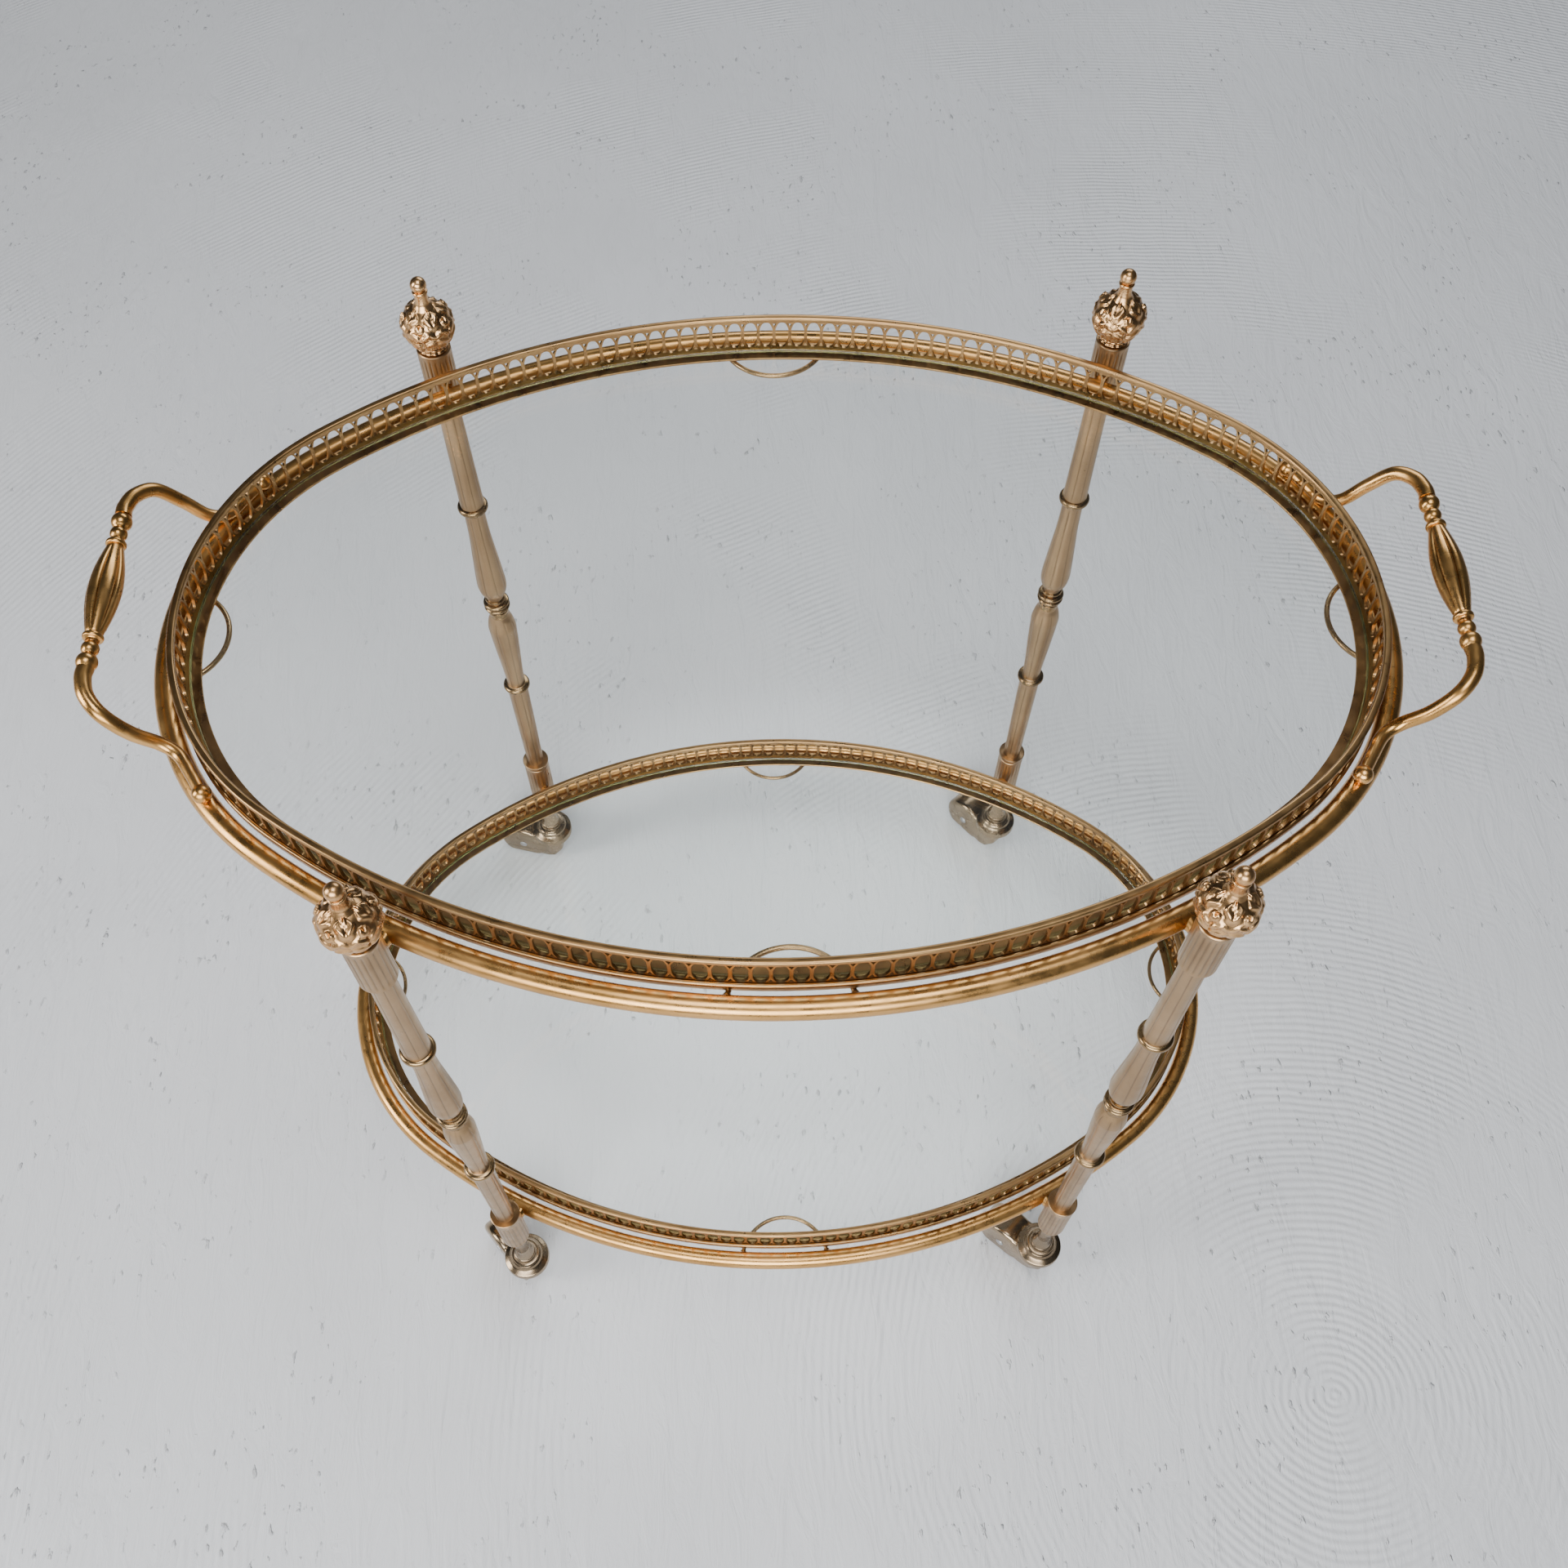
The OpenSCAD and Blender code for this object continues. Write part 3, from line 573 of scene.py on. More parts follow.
def gallery_strip(tier):
    """Pierced strip: one cell, with its opening and half a small hole in each corner, goes all round."""
    oval, node = TUBE[tier], f"gallery_strip_{tier}"
    low, high = mm_box(node)
    height = high.z - low.z
    count = 176
    out_face = out_of(oval, node)
    thick = 1.6
    mid = out_face - thick / 2
    total = 4 * oval.quarter(mid)
    pitch = total / count
    centre, half_high = height - 10.25, 9.3
    hole = [(p.x, p.y + centre) for p in opening(pitch / 2 - 0.9, half_high, 1.6, 3)]
    half = pitch / 2
    notch_w, notch_h, notch_away = 1.4, 3.0, half_high - 0.8
    low_notch, high_notch = centre - notch_away, centre + notch_away
    rim = [(-half, 0), (-half, low_notch), (-half + notch_w, low_notch), (-half, low_notch + notch_h)]
    rim += [(-half, high_notch - notch_h), (-half + notch_w, high_notch), (-half, high_notch)]
    rim.append((-half, height))
    rim = rim + [(-x, y) for x, y in reversed(rim)]
    loops = [[Vector((x, y, 0)) for x, y in loop] for loop in (rim, hole)]
    flat = loops[0] + loops[1]
    triangles = tessellate_polygon(loops)
    shape = Shape()
    for i in range(count):
        start = len(shape.verts)
        for face_out in (out_face, out_face - thick):
            for p in flat:
                turn = oval.turn_at((pitch * (i + 0.5) + p.x) % total, mid)
                x, y = oval.at(turn, face_out)
                shape.vert((x, y, low.z + p.y), 0, (pitch * i + p.x, p.y))
        n = len(flat)
        for a, b, c in triangles:
            shape.face(start + a, start + b, start + c)
            shape.face(start + n + c, start + n + b, start + n + a)
        first = 0
        for loop in loops:
            for j in range(len(loop)):
                a, b = first + j, first + (j + 1) % len(loop)
                on_seam = min(abs(flat[a].x), abs(flat[b].x)) > half - 0.001
                if not on_seam:
                    shape.face(start + a, start + b, start + n + b, start + n + a)
            first += len(loop)
    made = shape.build(f"gallery_strip_{tier}_brass", f"{tier}_tray", [TRAY_BRASS], "frame_brass", [node])
    work = bmesh.new()
    work.from_mesh(made.data)
    bmesh.ops.remove_doubles(work, verts=work.verts, dist=0.00001)
    bmesh.ops.recalc_face_normals(work, faces=work.faces)
    work.to_mesh(made.data)
    work.free()


def tray_ledge(tier):
    """Flat ledge under the glass with a rounded moulding outside the strip."""
    oval, node = TUBE[tier], f"tray_ledge_{tier}"
    low, high = mm_box(node)
    out = out_of(oval, node)
    ledge_t = 1.5
    reach = 11.6
    moulded = 2.2
    tall = high.z - low.z
    profile = [(out - reach, 0.3), (out - reach + 0.3, 0), (out - 0.6, 0), (out - 0.1, 0.5), (out, 1.2)]
    profile += [(out - moulded / 2 + moulded / 2 * math.cos(math.radians(a)),
                 tall - moulded / 2 + moulded / 2 * math.sin(math.radians(a))) for a in range(0, 181, 20)]
    profile += [(out - moulded, ledge_t), (out - reach + 0.3, ledge_t), (out - reach, ledge_t - 0.3)]
    shape = moulding(oval, low.z, profile)
    shape.build(f"tray_ledge_{tier}_brass", f"{tier}_tray", [TRAY_BRASS], "frame_brass", [node])


def glass_plate(tier):
    """Float glass with a polished, rounded edge that shows green."""
    oval, node = TUBE[tier], f"glass_{tier}"
    low, high = mm_box(node)
    out = out_of(oval, node)
    thick = high.z - low.z
    bevel = 0.8
    rim = [(out - bevel, 0), (out - 0.2, 0.3), (out, bevel), (out, thick - bevel),
           (out - 0.2, thick - 0.3), (out - bevel, thick)]
    shape = Shape()
    total = 4 * oval.quarter()
    for i in range(STATIONS):
        turn = oval.turn_at(total * i / STATIONS)
        for away, up in rim:
            shape.vert((*oval.at(turn, away), low.z + up))
    n = len(rim)
    for i in range(STATIONS):
        k = (i + 1) % STATIONS
        for j in range(n - 1):
            shape.face(i * n + j, k * n + j, k * n + j + 1, i * n + j + 1, tint=1)
    shape.face(*(i * n for i in reversed(range(STATIONS))))
    shape.face(*(i * n + n - 1 for i in range(STATIONS)))
    crease = 12
    shape.build(f"glass_{tier}_plate", f"{tier}_glass", [GLASS, GLASS_EDGE], "clear_glass", [node], crease)


def hoops(tier):
    """Four bent wires under the tray, each soldered to the tube with a small blob at both ends."""
    oval, node = TUBE[tier], f"hoops_{tier}"
    low, high = mm_box(node)
    wire_r = (high.z - low.z) / 2
    wire_z = (high.z + low.z) / 2
    hoop_r, blob_r = 31, wire_r * 1.45
    bends = 32
    flank = math.sqrt(max(0, oval.tube_r ** 2 - (oval.z - wire_z - wire_r) ** 2))
    shape = Shape()
    for side in range(4):
        turn = side * TAU / 4
        x, y = oval.at(turn)
        across = turn + math.pi / 2
        sag = hoop_r ** 2 / (2 * (oval.end_r if side % 2 == 0 else oval.side_r))
        start = math.asin((flank + sag) / hoop_r)
        angles = [across + start + (math.pi - 2 * start) * i / bends for i in range(bends + 1)]
        line = [Vector((x + hoop_r * math.cos(a), y + hoop_r * math.sin(a), wire_z)) for a in angles]
        shape.add(swept(line, [wire_r] * len(line), 16))
        for end in (line[0], line[-1]):
            shape.add(ball(blob_r, end, 0.9, 20))
    shape.build(f"hoops_{tier}_brass", "frame", [RING_BRASS], "frame_brass", [node])


def lugs(tier):
    """Short necks of solder and brass between the collars and the tube."""
    oval, node = TUBE[tier], f"lugs_{tier}"
    shape = Shape()
    for post in POSTS:
        place = middle(f"tie_rod_{post}")
        turn = post_turn(place)
        foot = Vector((*oval.at(turn), oval.z))
        head = Vector((place.x, place.y, oval.z))
        axis = (head - foot).normalized()
        reach = (head - foot).length
        outline = curve([(4.9, 3), (4.3, 6.6), (4.15, 8.0), (4.4, 9.2), (5.0, reach - 6)], 4)
        matrix = Matrix.Translation(foot) @ axis.to_track_quat("Z", "Y").to_matrix().to_4x4()
        shape.add(turned(outline, 40), matrix)
    shape.build(f"lugs_{tier}_brass", "frame", [FRAME_BRASS], "frame_brass", [node])


def post_turn(place):
    """Direction of the oval's normal that passes through a post."""
    oval = TUBE["upper"]
    turn = math.atan2(abs(place.y) + oval.side_c, abs(place.x))
    turn = turn if place.x > 0 else math.pi - turn
    return turn if place.y > 0 else -turn


# ---------------------------------------------------------------- posts


def panel_grooves(count, depth, width, spans):
    """Relief of thin lines that part a shaft into long panels inside the given spans of height. A span with
    an arch height ends its panels in round arches at its low end."""
    mean_r, fade_h = 9, 3

    def relief(turn, z):
        groove, pillow = 0.0, 0.0
        for low, high, arch in spans:
            if low < z < high:
                fade = 1.0 if arch else (z - low) / fade_h
                strength = min(1.0, (high - z) / fade_h, fade)
                away = abs((turn * count / TAU) % 1 - 0.5)
                edge = 0.5
                if arch and z < low + arch:
                    edge = 0.5 * math.sqrt(1 - (1 - (z - low) / arch) ** 2)
                gap = abs(away - edge) * TAU * mean_r / count
                groove = bell(gap, width) * strength
                pillow = bell(gap, 4 * width) * strength
        # Painted shade: the thin lines are darkened as well as sunk.
        return depth * groove + 0.15 * pillow, 0.34 * min(1.0, groove)

    return relief


def tint_between(shape, spans, tint):
    """Gives the faces between these heights another of the piece's materials."""
    for index, face in enumerate(shape.faces):
        level = sum(shape.verts[i].z for i in face) / len(face)
        if any(low < level < high for low, high in spans):
            shape.tints[index] = tint
    return shape


def at_post(post):
    place = middle(f"tie_rod_{post}")
    return Matrix.Translation((place.x, place.y, 0)) @ Matrix.Rotation(post_turn(place), 4, "Z")


def shaft(post):
    """Turned shaft: from the top a long run, ring, vase, double ring, bulb, ring and a last run. Shallow
    lines part the runs, the vase and the bulb into panels."""
    node = f"shaft_{post}"
    low, high = mm_box(node)
    ring_h, upper_run, vase_run, bulb_run = 5, 96, 98, 96
    neck_r, vase_r, ring_r = 6.2, 10.1, 10.1
    ring1 = high.z - upper_run
    vase = ring1 - ring_h
    ring2 = vase - vase_run
    bulb = ring2 - 1.5 * ring_h
    ring3 = bulb - bulb_run
    run = ring3 - ring_h
    outline = curve([(6.4, low.z), (6.6, low.z + 4), (7.2, low.z + 0.5 * (run - low.z)),
                     (7.7, run - 0.4)], 8)
    outline += bead(ring_r, run, ring3, 7.2)
    outline += curve([(6.6, ring3 + 0.4), (7.4, ring3 + 20), (8.9, ring3 + 45), (10.0, bulb - 27),
                      (9.9, bulb - 21), (8.6, bulb - 14), (6.6, bulb - 9), (neck_r, bulb - 5)], 8)
    outline += bead(7.4, bulb - 4.8, bulb - 2.4, 6.3, 6)
    outline += [(6.2, bulb - 1.2)]
    outline += bead(ring_r - 0.9, bulb, bulb + 3.4, 6.4, 8) + [(6.9, bulb + 3.75)]
    outline += bead(ring_r - 0.9, bulb + 4.1, ring2, 6.4, 8)
    outline += bead(7.3, ring2 + 1.4, ring2 + 3.6, 6.3, 6)
    outline += curve([(neck_r, ring2 + 4.4), (6.7, ring2 + 7), (9.0, ring2 + 12), (vase_r, ring2 + 18),
                      (9.9, ring2 + 28), (8.6, ring2 + 50), (7.2, ring2 + 74), (6.8, vase - 0.4)], 8)
    outline += bead(ring_r, vase, ring1, 7.2)
    outline += curve([(7.9, ring1 + 0.4), (7.9, ring1 + 6), (7.4, ring1 + 45), (6.9, high.z)], 10)
    spans = [(low.z + 1, run - 1, 0), (ring3 + 2, bulb - 12, 0), (ring2 + 12, vase - 2, 7),
             (ring1 + 1, high.z + 9, 0)]
    shape = turned(outline, 144, panel_grooves(8, 0.20, 0.34, spans))
    tint_between(shape, [(run, ring3), (bulb - 9, ring2 + 5), (vase, ring1)], 1)
    made = Shape().add(shape, at_post(post))
    made.build(f"shaft_{post}_turned", "frame", [POST_BRASS, RING_BRASS], "post_brass", [node])


def fluted(radius, low, high, land, count=20):
    """Relief and outline of a fluted sleeve with a plain band at both ends."""
    outline = [(radius - 0.5, low), (radius, low + 0.5), (radius, low + land)]
    outline += [(radius, low + land + 0.01 + (high - low - 2 * land - 0.02) * i / 16) for i in range(17)]
    outline += [(radius, high - land), (radius, high - 0.5), (radius - 0.5, high)]

    def relief(turn, z):
        strength = max(0.0, min(1.0, (z - low - land) / 0.8, (high - land - z) / 0.8))
        away = (turn * count / TAU + 0.5) % 1 - 0.5
        groove = bell(abs(away) * TAU * radius / count, 0.5) * strength
        # Painted shade: the flutes are darkened as well as sunk.
        return 0.35 * groove, 0.28 * min(1.0, groove)

    return outline, relief


def top_collar(post):
    node = f"top_collar_{post}"
    low, high = mm_box(node)
    radius = (high.x - low.x) / 2
    outline, relief = fluted(radius, low.z, high.z, 2.2)
    made = Shape().add(turned(outline, 200, relief), at_post(post))
    made.build(f"top_collar_{post}_fluted", "frame", [POST_BRASS], "post_brass", [node])


def foot_collar(post):
    """Fluted sleeve with a small flared cup at its top."""
    node = f"foot_collar_{post}"
    low, high = mm_box(node)
    cup_h = 5
    radius = (high.x - low.x) / 2 - 0.6
    outline, relief = fluted(radius, low.z, high.z - cup_h, 2.0)
    shape = turned(outline, 200, relief)
    top = high.z
    cup = [(radius - 1.5, top - cup_h + 0.1), (radius + 0.1, top - cup_h + 0.5), (radius + 0.3, top - 2.6),
           (radius + 0.6, top - 1.0), (radius + 0.5, top - 0.3), (radius, top), (radius - 1.4, top - 0.4),
           (6.4, top - 0.9)]
    shape.add(turned(cup, 96))
    made = Shape().add(shape, at_post(post))
    made.build(f"foot_collar_{post}_fluted", "frame", [POST_BRASS], "post_brass", [node])


def leaf(across, rise, lobes):
    """Height of one leaf at a place across it, in half widths, and at a share of its length."""
    if not 0 < rise < 1:
        return 0.0
    scallop = 1 + 0.16 * math.cos(TAU * lobes * rise)
    edge = math.sin(math.pi * min(1.0, 0.12 + 0.88 * rise)) ** 0.55 * scallop
    side = abs(across) / max(edge, 1e-3)
    if side >= 1:
        return 0.0
    rib = 0.40 * math.sin(TAU * (lobes * rise - 0.9 * side))
    vein = 0.42 * bell(side, 0.13)
    return (1 - side ** 4) * (0.8 + rib) - vein


# Each row of leaves: how many, turned by what share of a leaf, the shares of the angle up the globe where
# it starts and ends, how proud it stands, and how much its tips curl outwards.
LEAF_ROWS = ((5, 0.0, 0.02, 1.02, 0.6, 0.0), (5, 0.5, -0.05, 0.72, 1.0, 0.5))
LEAF_LOBES = 5


def leaf_lift(turn, share):
    """How far the leaves stand out at an angle round the globe and a share of the angle up it."""
    lift = 0.0
    for count, offset, first, last, proud, curl in LEAF_ROWS:
        away = ((turn * count / TAU + offset) % 1 - 0.5) * 2
        rise = (share - first) / (last - first)
        tip = proud * leaf(away * 0.98, rise, LEAF_LOBES)
        tip += curl * bell(rise - 0.88, 0.10) * max(0.0, 1 - 2.4 * abs(away))
        lift = max(lift, tip)
    return lift


def finial(post):
    """Ball on a neck over a globe of two rows of leaves, with a ring of leaf tips under it."""
    node = f"finial_{post}"
    low, high = mm_box(node)
    globe_r = (high.x - low.x) / 2
    ball_r, ball_rise = 4.7, 28
    ball_z = high.z - ball_r
    globe_z = ball_z - ball_rise
    sides, rows = 180, 84
    shape = Shape()
    start, stop = math.radians(28), math.radians(166)
    rings = []
    for i in range(rows + 1):
        polar = start + (stop - start) * i / rows
        ring = []
        for s in range(sides):
            turn = TAU * s / sides
            lift = leaf_lift(turn, i / rows)
            reach = globe_r * (0.885 + 0.105 * min(lift, 1.05))
            # Painted shade: where the leaves stand less proud, the globe is darkened between and under
            # them.
            groove = max(0.0, 0.34 - lift * 0.8)
            out = reach * math.sin(polar)
            spot = (out * math.cos(turn), out * math.sin(turn), globe_z - reach * math.cos(polar))
            ring.append(shape.vert(spot, groove, (polar * globe_r, turn * FLOW_R)))
        rings.append(ring)
    for a, b in zip(rings, rings[1:]):
        for s in range(sides):
            t = (s + 1) % sides
            shape.face(a[s], a[t], b[t], b[s])
    shape.face(*reversed(rings[0]))
    shape.face(*rings[-1])

    def petals(turn, z):
        wave = abs(math.sin(turn * 7))
        # Painted shade: the dips between the petals are darkened.
        return 0.9 * (1 - wave) * bell(z - low.z - 2.6, 2.0), 0.6 * (1 - wave)

    foot = [(7.6, low.z), (8.6, low.z + 0.5), (9.0, low.z + 1.4), (8.3, low.z + 2.2), (9.2, low.z + 3.0),
            (9.7, low.z + 4.2), (9.2, low.z + 5.2), (7.2, low.z + 5.6)]
    shape.add(turned(curve(foot, 3), 140, petals))
    neck_low = globe_z + globe_r * 0.8
    neck = [(6.2, neck_low), (5.2, neck_low + 1.6), (4.0, neck_low + 4), (3.7, ball_z - 6.4),
            (3.9, ball_z - 5.2)]
    shape.add(turned(curve(neck, 5), 40))
    shape.add(turned(bead(4.5, ball_z - 5.6, ball_z - 3.6, 3.4, 8), 40))
    shape.add(ball(ball_r, (0, 0, ball_z)))
    made = Shape().add(shape, at_post(post))
    crease = 60
    made.build(f"finial_{post}_leaves", "frame", [FINIAL_BRASS], "finial_brass", [node], crease)


def tie_rod(post):
    """The hidden rod keeps its CAD shape."""
    rod = frame["nodes"][f"tie_rod_{post}"]
    rod.data.materials.clear()
    rod.data.materials.append(STEEL)


# ---------------------------------------------------------------- handles

GRIP_OUT, GRIP_RISE, GRIP_HALF, BEAD_LEN = 19.5, 43.0, 33.0, 16.5
BEAD_R, SMALL_BEAD_R, BEAD_SEAT = 5.4, 4.5, 0.85
ARM_TIP_R, ARM_R, KNOB_R = 3.2, 4.4, 5.0


def at_end(end):
    oval = TUBE["upper"]
    flip = Matrix.Scale(-1 if end == "left" else 1, 4, (1, 0, 0))
    return flip @ Matrix.Translation((oval.half_length, 0, oval.z))


def both_sides(shape):
    return Shape().add(shape).add(shape, Matrix.Scale(-1, 4, (0, 1, 0)))


def arm_points():
    lift = TUBE["upper"].tube_r + ARM_TIP_R + 0.1
    return [(-35.5, 101, lift), (-28, 89, lift), (-20.5, 78.5, lift), (-12, 74.5, lift + 4),
            (-1, 75, lift + 15), (9, 72.5, GRIP_RISE - 6.5), (16.5, 64.5, GRIP_RISE - 1.5),
            (GRIP_OUT, 55, GRIP_RISE), (GRIP_OUT, GRIP_HALF + BEAD_LEN - 0.6, GRIP_RISE)]


def handle_arms(end):
    line = smooth_line(arm_points(), 10)
    last = len(line) - 1
    radii = [ARM_TIP_R + (ARM_R - ARM_TIP_R) * i / last for i in range(last + 1)]
    shape = both_sides(swept(line, radii))
    made = Shape().add(shape, at_end(end))
    made.build(f"handle_arms_{end}_bent", "frame", [FRAME_BRASS], "frame_brass", [f"handle_arms_{end}"])


def handle_knobs(end):
    tip, after = Vector(arm_points()[0]), Vector(arm_points()[1])
    place = tip - (after - tip).normalized()
    made = Shape().add(both_sides(ball(KNOB_R, place, 1.0, 36)), at_end(end))
    made.build(f"handle_knobs_{end}_balls", "frame", [FRAME_BRASS], "frame_brass", [f"handle_knobs_{end}"])


def along_y(shape):
    """Lays a turned piece along Y on the grip's axis."""
    matrix = Matrix.Translation((GRIP_OUT, 0, GRIP_RISE)) @ Matrix.Rotation(math.radians(-90), 4, "X")
    return Shape().add(shape, matrix)


def arc(radius, centre, start, stop, steps=12):
    """Outline of part of a ball, from one latitude to another."""
    turns = [math.radians(start + (stop - start) * i / steps) for i in range(steps + 1)]
    return [(radius * math.cos(a), centre + radius * math.sin(a)) for a in turns]


def handle_beads(end):
    """A small and a larger ball between the grip and the arm."""
    tip = GRIP_HALF + BEAD_LEN
    outline = [(3.1, GRIP_HALF - 0.4)]
    outline += arc(SMALL_BEAD_R, GRIP_HALF + BEAD_SEAT * SMALL_BEAD_R, -50, 48)
    outline += arc(BEAD_R, tip - BEAD_SEAT * BEAD_R, -52, 40)
    outline += [(3.9, tip - 0.8), (3.9, tip)]
    shape = both_sides(along_y(turned(outline, 48)))
    made = Shape().add(shape, at_end(end))
    made.build(f"handle_beads_{end}_turned", "frame", [FRAME_BRASS], "frame_brass", [f"handle_beads_{end}"])


def handle_grip(end):
    """Spindle grip with six broad lobes and a small ring near each end."""
    grip_r, end_r, swell = 8.7, 4.3, GRIP_HALF - 5
    lobe_count, lobe_depth = 6, 1.5
    half = [(end_r + (grip_r - end_r) * math.cos(TAU / 4 * i / 20), swell * i / 20) for i in range(21)]
    half += bead(5.3, swell + 0.3, swell + 3.3, 4.0, 8) + [(3.4, swell + 3.8), (3.4, GRIP_HALF)]
    outline = [(r, -z) for r, z in reversed(half)] + half[1:]

    def lobes(turn, z):
        strength = max(0.0, 1 - (abs(z) / swell) ** 3)
        away = abs((turn * lobe_count / TAU) % 1 - 0.5) * 2
        groove = (1 - away) ** 4
        # Painted shade: a dark line is painted along the bottom of each lobe's valley.
        return lobe_depth * groove * strength, 0.6 * bell(away, 0.07) * strength

    made = Shape().add(along_y(turned(outline, 144, lobes)), at_end(end))
    made.build(f"handle_grip_{end}_lobed", "frame", [FRAME_BRASS], "frame_brass", [f"handle_grip_{end}"])


# ---------------------------------------------------------------- casters

JOINTS = {joint["name"]: joint for joint in frame["joints"]}
WHEEL_R, WHEEL_HALF, TRAIL = 18.0, 8.0, 26.0
HOOD_R, HOOD_HALF, HOOD_CLEAR = 21.0, 12.0, 5.0
CAP_R, PIN_HOLE_R = 17.0, 4.05
CAP_BASE, CAP_RIM, CAP_TOP = 34.0, 47.0, 50.0


def at_caster(post):
    """On the swivel's axis, with X the way the caster trails."""
    pivot = Vector(JOINTS[f"swivel_{post}"]["pos_m"]) / MM
    axle = Vector(JOINTS[f"wheel_spin_{post}"]["pos_m"]) / MM
    heading = math.atan2(axle.y - pivot.y, axle.x - pivot.x)
    return Matrix.Translation((pivot.x, pivot.y, 0)) @ Matrix.Rotation(heading, 4, "Z")


def on_axle(shape):
    matrix = Matrix.Translation((TRAIL, 0, WHEEL_R)) @ Matrix.Rotation(math.radians(-90), 4, "X")
    return Shape().add(shape, matrix)


def caster_stem(post):
    """Sleeve that flares to a stepped foot above the cap."""
    node = f"caster_stem_{post}"
    top = mm_box(f"foot_collar_{post}")[0].z
    foot = CAP_TOP + 0.3
    outline = [(4.0, foot - 18), (4.0, foot)] + bead(8.2, foot, foot + 3, 7.2, 8)
    outline += curve([(7.4, foot + 3.2), (6.4, foot + 7), (5.5, foot + 13), (5.0, foot + 20),
                      (5.0, top - 3)], 6)
    outline += bead(5.8, top - 2.8, top - 0.3, 5.0, 6) + [(4.0, top)]
    made = Shape().add(turned(outline, 64), at_caster(post))
    made.build(f"caster_stem_{post}_turned", "frame", [CASTER_BRONZE], "caster_bronze", [node])


def working_solid(shape, name):
    """A working object for cuts and joins, in millimetres."""
    mesh = bpy.data.meshes.new(name)
    mesh.from_pydata(shape.verts, [], shape.faces)
    work = bmesh.new()
    work.from_mesh(mesh)
    bmesh.ops.recalc_face_normals(work, faces=work.faces)
    work.to_mesh(mesh)
    work.free()
    made = bpy.data.objects.new(name, mesh)
    bpy.context.scene.collection.objects.link(made)
    return made


def carve(base, tool, operation):
    """Joins or cuts two working solids and drops the second."""
    step = base.modifiers.new("cut", "BOOLEAN")
    step.operation, step.object, step.solver = operation, tool, "EXACT"
    graph = bpy.context.evaluated_depsgraph_get()
    mesh = bpy.data.meshes.new_from_object(base.evaluated_get(graph))
    base.modifiers.clear()
    base.data = mesh
    bpy.data.objects.remove(tool)


def block(corners, half, name, bevel):
    """An upright plate between -half and half in Y from (x, z) corners, with rounded edges."""
    shape = Shape()
    for side in (-half, half):
        for x, z in corners:
            shape.vert((x, side, z))
    n = len(corners)
    shape.face(*range(n))
    shape.face(*(n + i for i in reversed(range(n))))
    for i in range(n):
        k = (i + 1) % n
        shape.face(i, k, n + k, n + i)
    made = working_solid(shape, name)
    work = bmesh.new()
    work.from_mesh(made.data)
    bmesh.ops.bevel(work, geom=work.edges[:], offset=bevel, segments=4, profile=0.5, affect="EDGES")
    work.to_mesh(made.data)
    work.free()
    return made


def hood_shape():
    """Round-shouldered drum over the wheel, joined by a neck to the stepped cap, with the wheel's room,
    the pin's hole and everything below the rim cut away."""
    round_off = 4.0
    drum = [(POLE, -HOOD_HALF), (HOOD_R - round_off, -HOOD_HALF)]
    drum += [(HOOD_R - round_off + round_off * math.sin(math.radians(a)),
              -HOOD_HALF + round_off - round_off * math.cos(math.radians(a))) for a in range(15, 91, 15)]
    drum += [(r, -z) for r, z in reversed(drum)]
    base = working_solid(on_axle(turned(drum, 96)), "hood_work")
    front = CAP_R - 6
    neck = block([(-front, CAP_BASE + 4), (-front, 22), (-3, 8), (3, HOOD_CLEAR), (TRAIL, HOOD_CLEAR),
                  (TRAIL, CAP_BASE + 2)], HOOD_HALF - 0.2, "neck", 2.5)
    carve(base, neck, "UNION")
    cap = [(POLE, CAP_BASE), (CAP_R - 1, CAP_BASE), (CAP_R, CAP_BASE + 0.8)]
    cap += [(CAP_R, CAP_BASE + 5.5), (CAP_R - 0.4, CAP_BASE + 6.6), (CAP_R - 1.3, CAP_BASE + 7.2)]
    cap += curve([(CAP_R - 3.2, CAP_BASE + 8.0), (CAP_R - 4.6, CAP_BASE + 9.2),
                  (CAP_R - 5.2, CAP_BASE + 10.6)], 4)
    cap += [(CAP_R - 5.6, CAP_BASE + 11.2), (10.7, CAP_RIM - 1.2), (10.7, CAP_RIM + 0.8)]
    cap += [(10.2, CAP_RIM + 1.4), (9.0, CAP_RIM + 1.6), (8.8, CAP_TOP - 0.6), (8.3, CAP_TOP)]
    cap.append((POLE, CAP_TOP))
    carve(base, working_solid(turned(cap, 96), "cap"), "UNION")
    room_r, room_half = WHEEL_R + 1.5, WHEEL_HALF + 1
    room = turned([(POLE, -room_half), (room_r, -room_half), (room_r, room_half), (POLE, room_half)], 96)
    carve(base, working_solid(on_axle(room), "room"), "DIFFERENCE")
    pin_hole = turned([(PIN_HOLE_R, CAP_TOP - 20), (PIN_HOLE_R, CAP_TOP + 5)], 48)
    carve(base, working_solid(pin_hole, "pin_hole"), "DIFFERENCE")
    below = Shape()
    for z in (-20, HOOD_CLEAR):
        for x, y in ((-60, -60), (90, -60), (90, 60), (-60, 60)):
            below.vert((x, y, z))
    for f in ((0, 1, 2, 3), (7, 6, 5, 4), (0, 4, 5, 1), (1, 5, 6, 2), (2, 6, 7, 3), (3, 7, 4, 0)):
        below.face(*f)
    carve(base, working_solid(below, "below"), "DIFFERENCE")
    shape = Shape()
    for v in base.data.vertices:
        shape.vert(v.co, 0, (math.hypot(v.co.x, v.co.y), v.co.z))
    for polygon in base.data.polygons:
        shape.face(*polygon.vertices)
    bpy.data.objects.remove(base)
    return shape


HOOD = hood_shape()


def caster_hood(post):
    node = f"caster_hood_{post}"
    crease = 32
    made = Shape().add(HOOD, at_caster(post))
    made.build(f"{node}_cast", f"swivel_{post}", [CASTER_BRONZE], "caster_bronze", [node], crease)


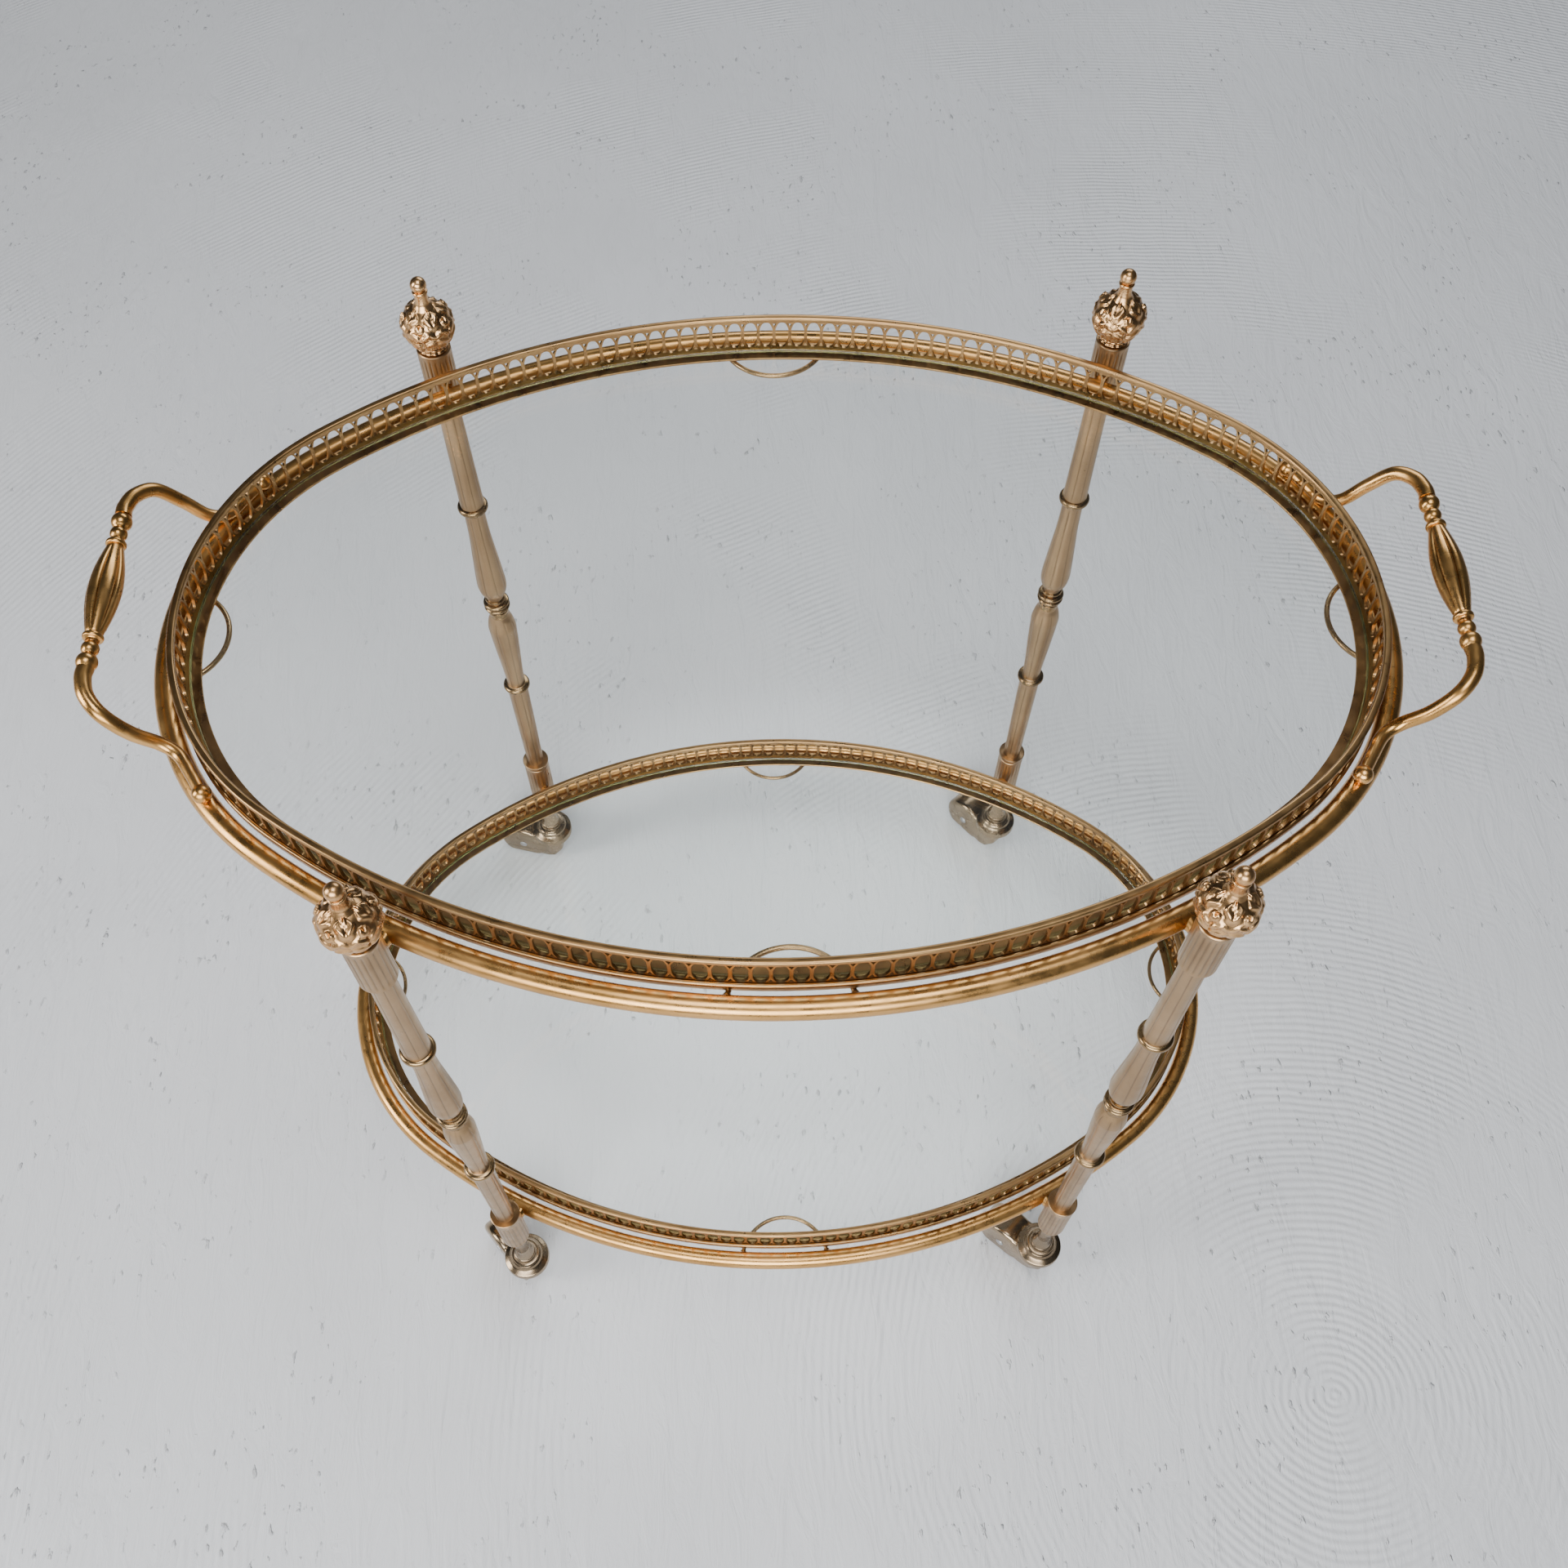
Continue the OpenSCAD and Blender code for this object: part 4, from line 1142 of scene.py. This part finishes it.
def caster_axle(post):
    """Riveted axle with a domed head on each side."""
    half = HOOD_HALF + 0.05
    axle_r, head_r, head_h = 2.0, 3.2, 1.25
    dome = [(head_r * math.cos(math.radians(a)), half + head_h * math.sin(math.radians(a)))
            for a in range(0, 81, 16)]
    outline = [(r, -z) for r, z in reversed(dome)] + [(axle_r, -half), (axle_r, half)] + dome
    made = Shape().add(on_axle(turned(outline, 32)), at_caster(post))
    made.build(f"caster_axle_{post}_rivet", f"swivel_{post}", [STEEL], "steel", [f"caster_axle_{post}"])


def caster_wheel(post):
    """Hard wheel with a crowned tread, a recessed web and a hub."""
    half = [(WHEEL_R, 0), (WHEEL_R - 0.05, WHEEL_HALF - 3), (WHEEL_R - 0.7, WHEEL_HALF - 1.2),
            (WHEEL_R - 2.2, WHEEL_HALF - 0.1), (WHEEL_R - 4, WHEEL_HALF), (WHEEL_R - 5, WHEEL_HALF - 1.4),
            (7.0, WHEEL_HALF - 1.6), (5.6, WHEEL_HALF - 0.4), (5.0, WHEEL_HALF + 0.6),
            (2.1, WHEEL_HALF + 0.7)]
    outline = [(r, -z) for r, z in reversed(half)] + half[1:]
    made = Shape().add(on_axle(turned(outline, 72)), at_caster(post))
    made.build(f"caster_wheel_{post}_tyre", f"wheel_{post}", [TREAD], "tread", [f"caster_wheel_{post}"])


# ---------------------------------------------------------------- the object

for tier in TIERS:
    frame_tube(tier)
    hoops(tier)
    lugs(tier)
    gallery_lip(tier)
    gallery_strip(tier)
    tray_ledge(tier)
    glass_plate(tier)
for post in POSTS:
    finial(post)
    top_collar(post)
    shaft(post)
    foot_collar(post)
    tie_rod(post)
    caster_stem(post)
    caster_hood(post)
    caster_axle(post)
    caster_wheel(post)
for end in ENDS:
    handle_arms(end)
    handle_knobs(end)
    handle_beads(end)
    handle_grip(end)


# ---------------------------------------------------------------- floor, light and camera


def floor():
    mesh = bpy.data.meshes.new("floor")
    reach = 6.0
    corners = [(-reach, -reach, 0), (reach, -reach, 0), (reach, reach, 0), (-reach, reach, 0)]
    mesh.from_pydata(corners, [], [(0, 1, 2, 3)])
    mesh.materials.append(floor_material())
    made = bpy.data.objects.new("floor", mesh)
    bpy.context.scene.collection.objects.link(made)


def window(name, place, target, size, power, colour):
    light = bpy.data.lights.new(name, "AREA")
    light.shape, light.size, light.size_y = "RECTANGLE", *size
    light.energy, light.color = power, colour
    made = bpy.data.objects.new(name, light)
    made.location = place
    made.rotation_euler = (Vector(target) - Vector(place)).to_track_quat("-Z", "Y").to_euler()
    bpy.context.scene.collection.objects.link(made)


def camera():
    """Stands in front and above, looking down at the trolley."""
    lens, sensor = 36.07, 36.0
    place = Vector((-0.01381, -0.50292, 1.27348))
    yaw, pitch, roll = (math.radians(a) for a in (1.835, 59.210, 0.632))
    ahead = Vector((math.sin(yaw) * math.cos(pitch), math.cos(yaw) * math.cos(pitch), -math.sin(pitch)))
    right = Vector((math.cos(yaw), -math.sin(yaw), 0))
    up = right.cross(ahead)
    right, up = (math.cos(roll) * right + math.sin(roll) * up,
                 -math.sin(roll) * right + math.cos(roll) * up)
    data = bpy.data.cameras.new("camera")
    data.lens, data.sensor_width = lens, sensor
    made = bpy.data.objects.new("camera", data)
    turn = Matrix((right, up, -ahead)).transposed()
    made.matrix_world = Matrix.Translation(place) @ turn.to_4x4()
    bpy.context.scene.collection.objects.link(made)
    bpy.context.scene.camera = made


def world():
    made = bpy.data.worlds.new("room")
    made.use_nodes = True
    made.node_tree.nodes["Background"].inputs["Color"].default_value = (0.80, 0.86, 0.95, 1)
    made.node_tree.nodes["Background"].inputs["Strength"].default_value = 0.08
    bpy.context.scene.world = made


floor()
world()
window("window_left", (-2.4, -0.6, 1.5), (0, 0, 0.3), (0.8, 1.6), 46, (1.0, 0.98, 0.95))
window("window_front", (-0.5, -2.6, 1.7), (0, -0.3, 0), (2.4, 1.3), 110, (0.98, 0.99, 1.0))
window("window_back", (0.7, 2.6, 2.2), (0, 0.3, 0), (2.0, 1.0), 30, (0.92, 0.96, 1.0))
window("skylight", (0.1, -0.5, 3.2), (0.1, -0.3, 0), (1.2, 1.2), 36, (0.98, 0.99, 1.0))
camera()
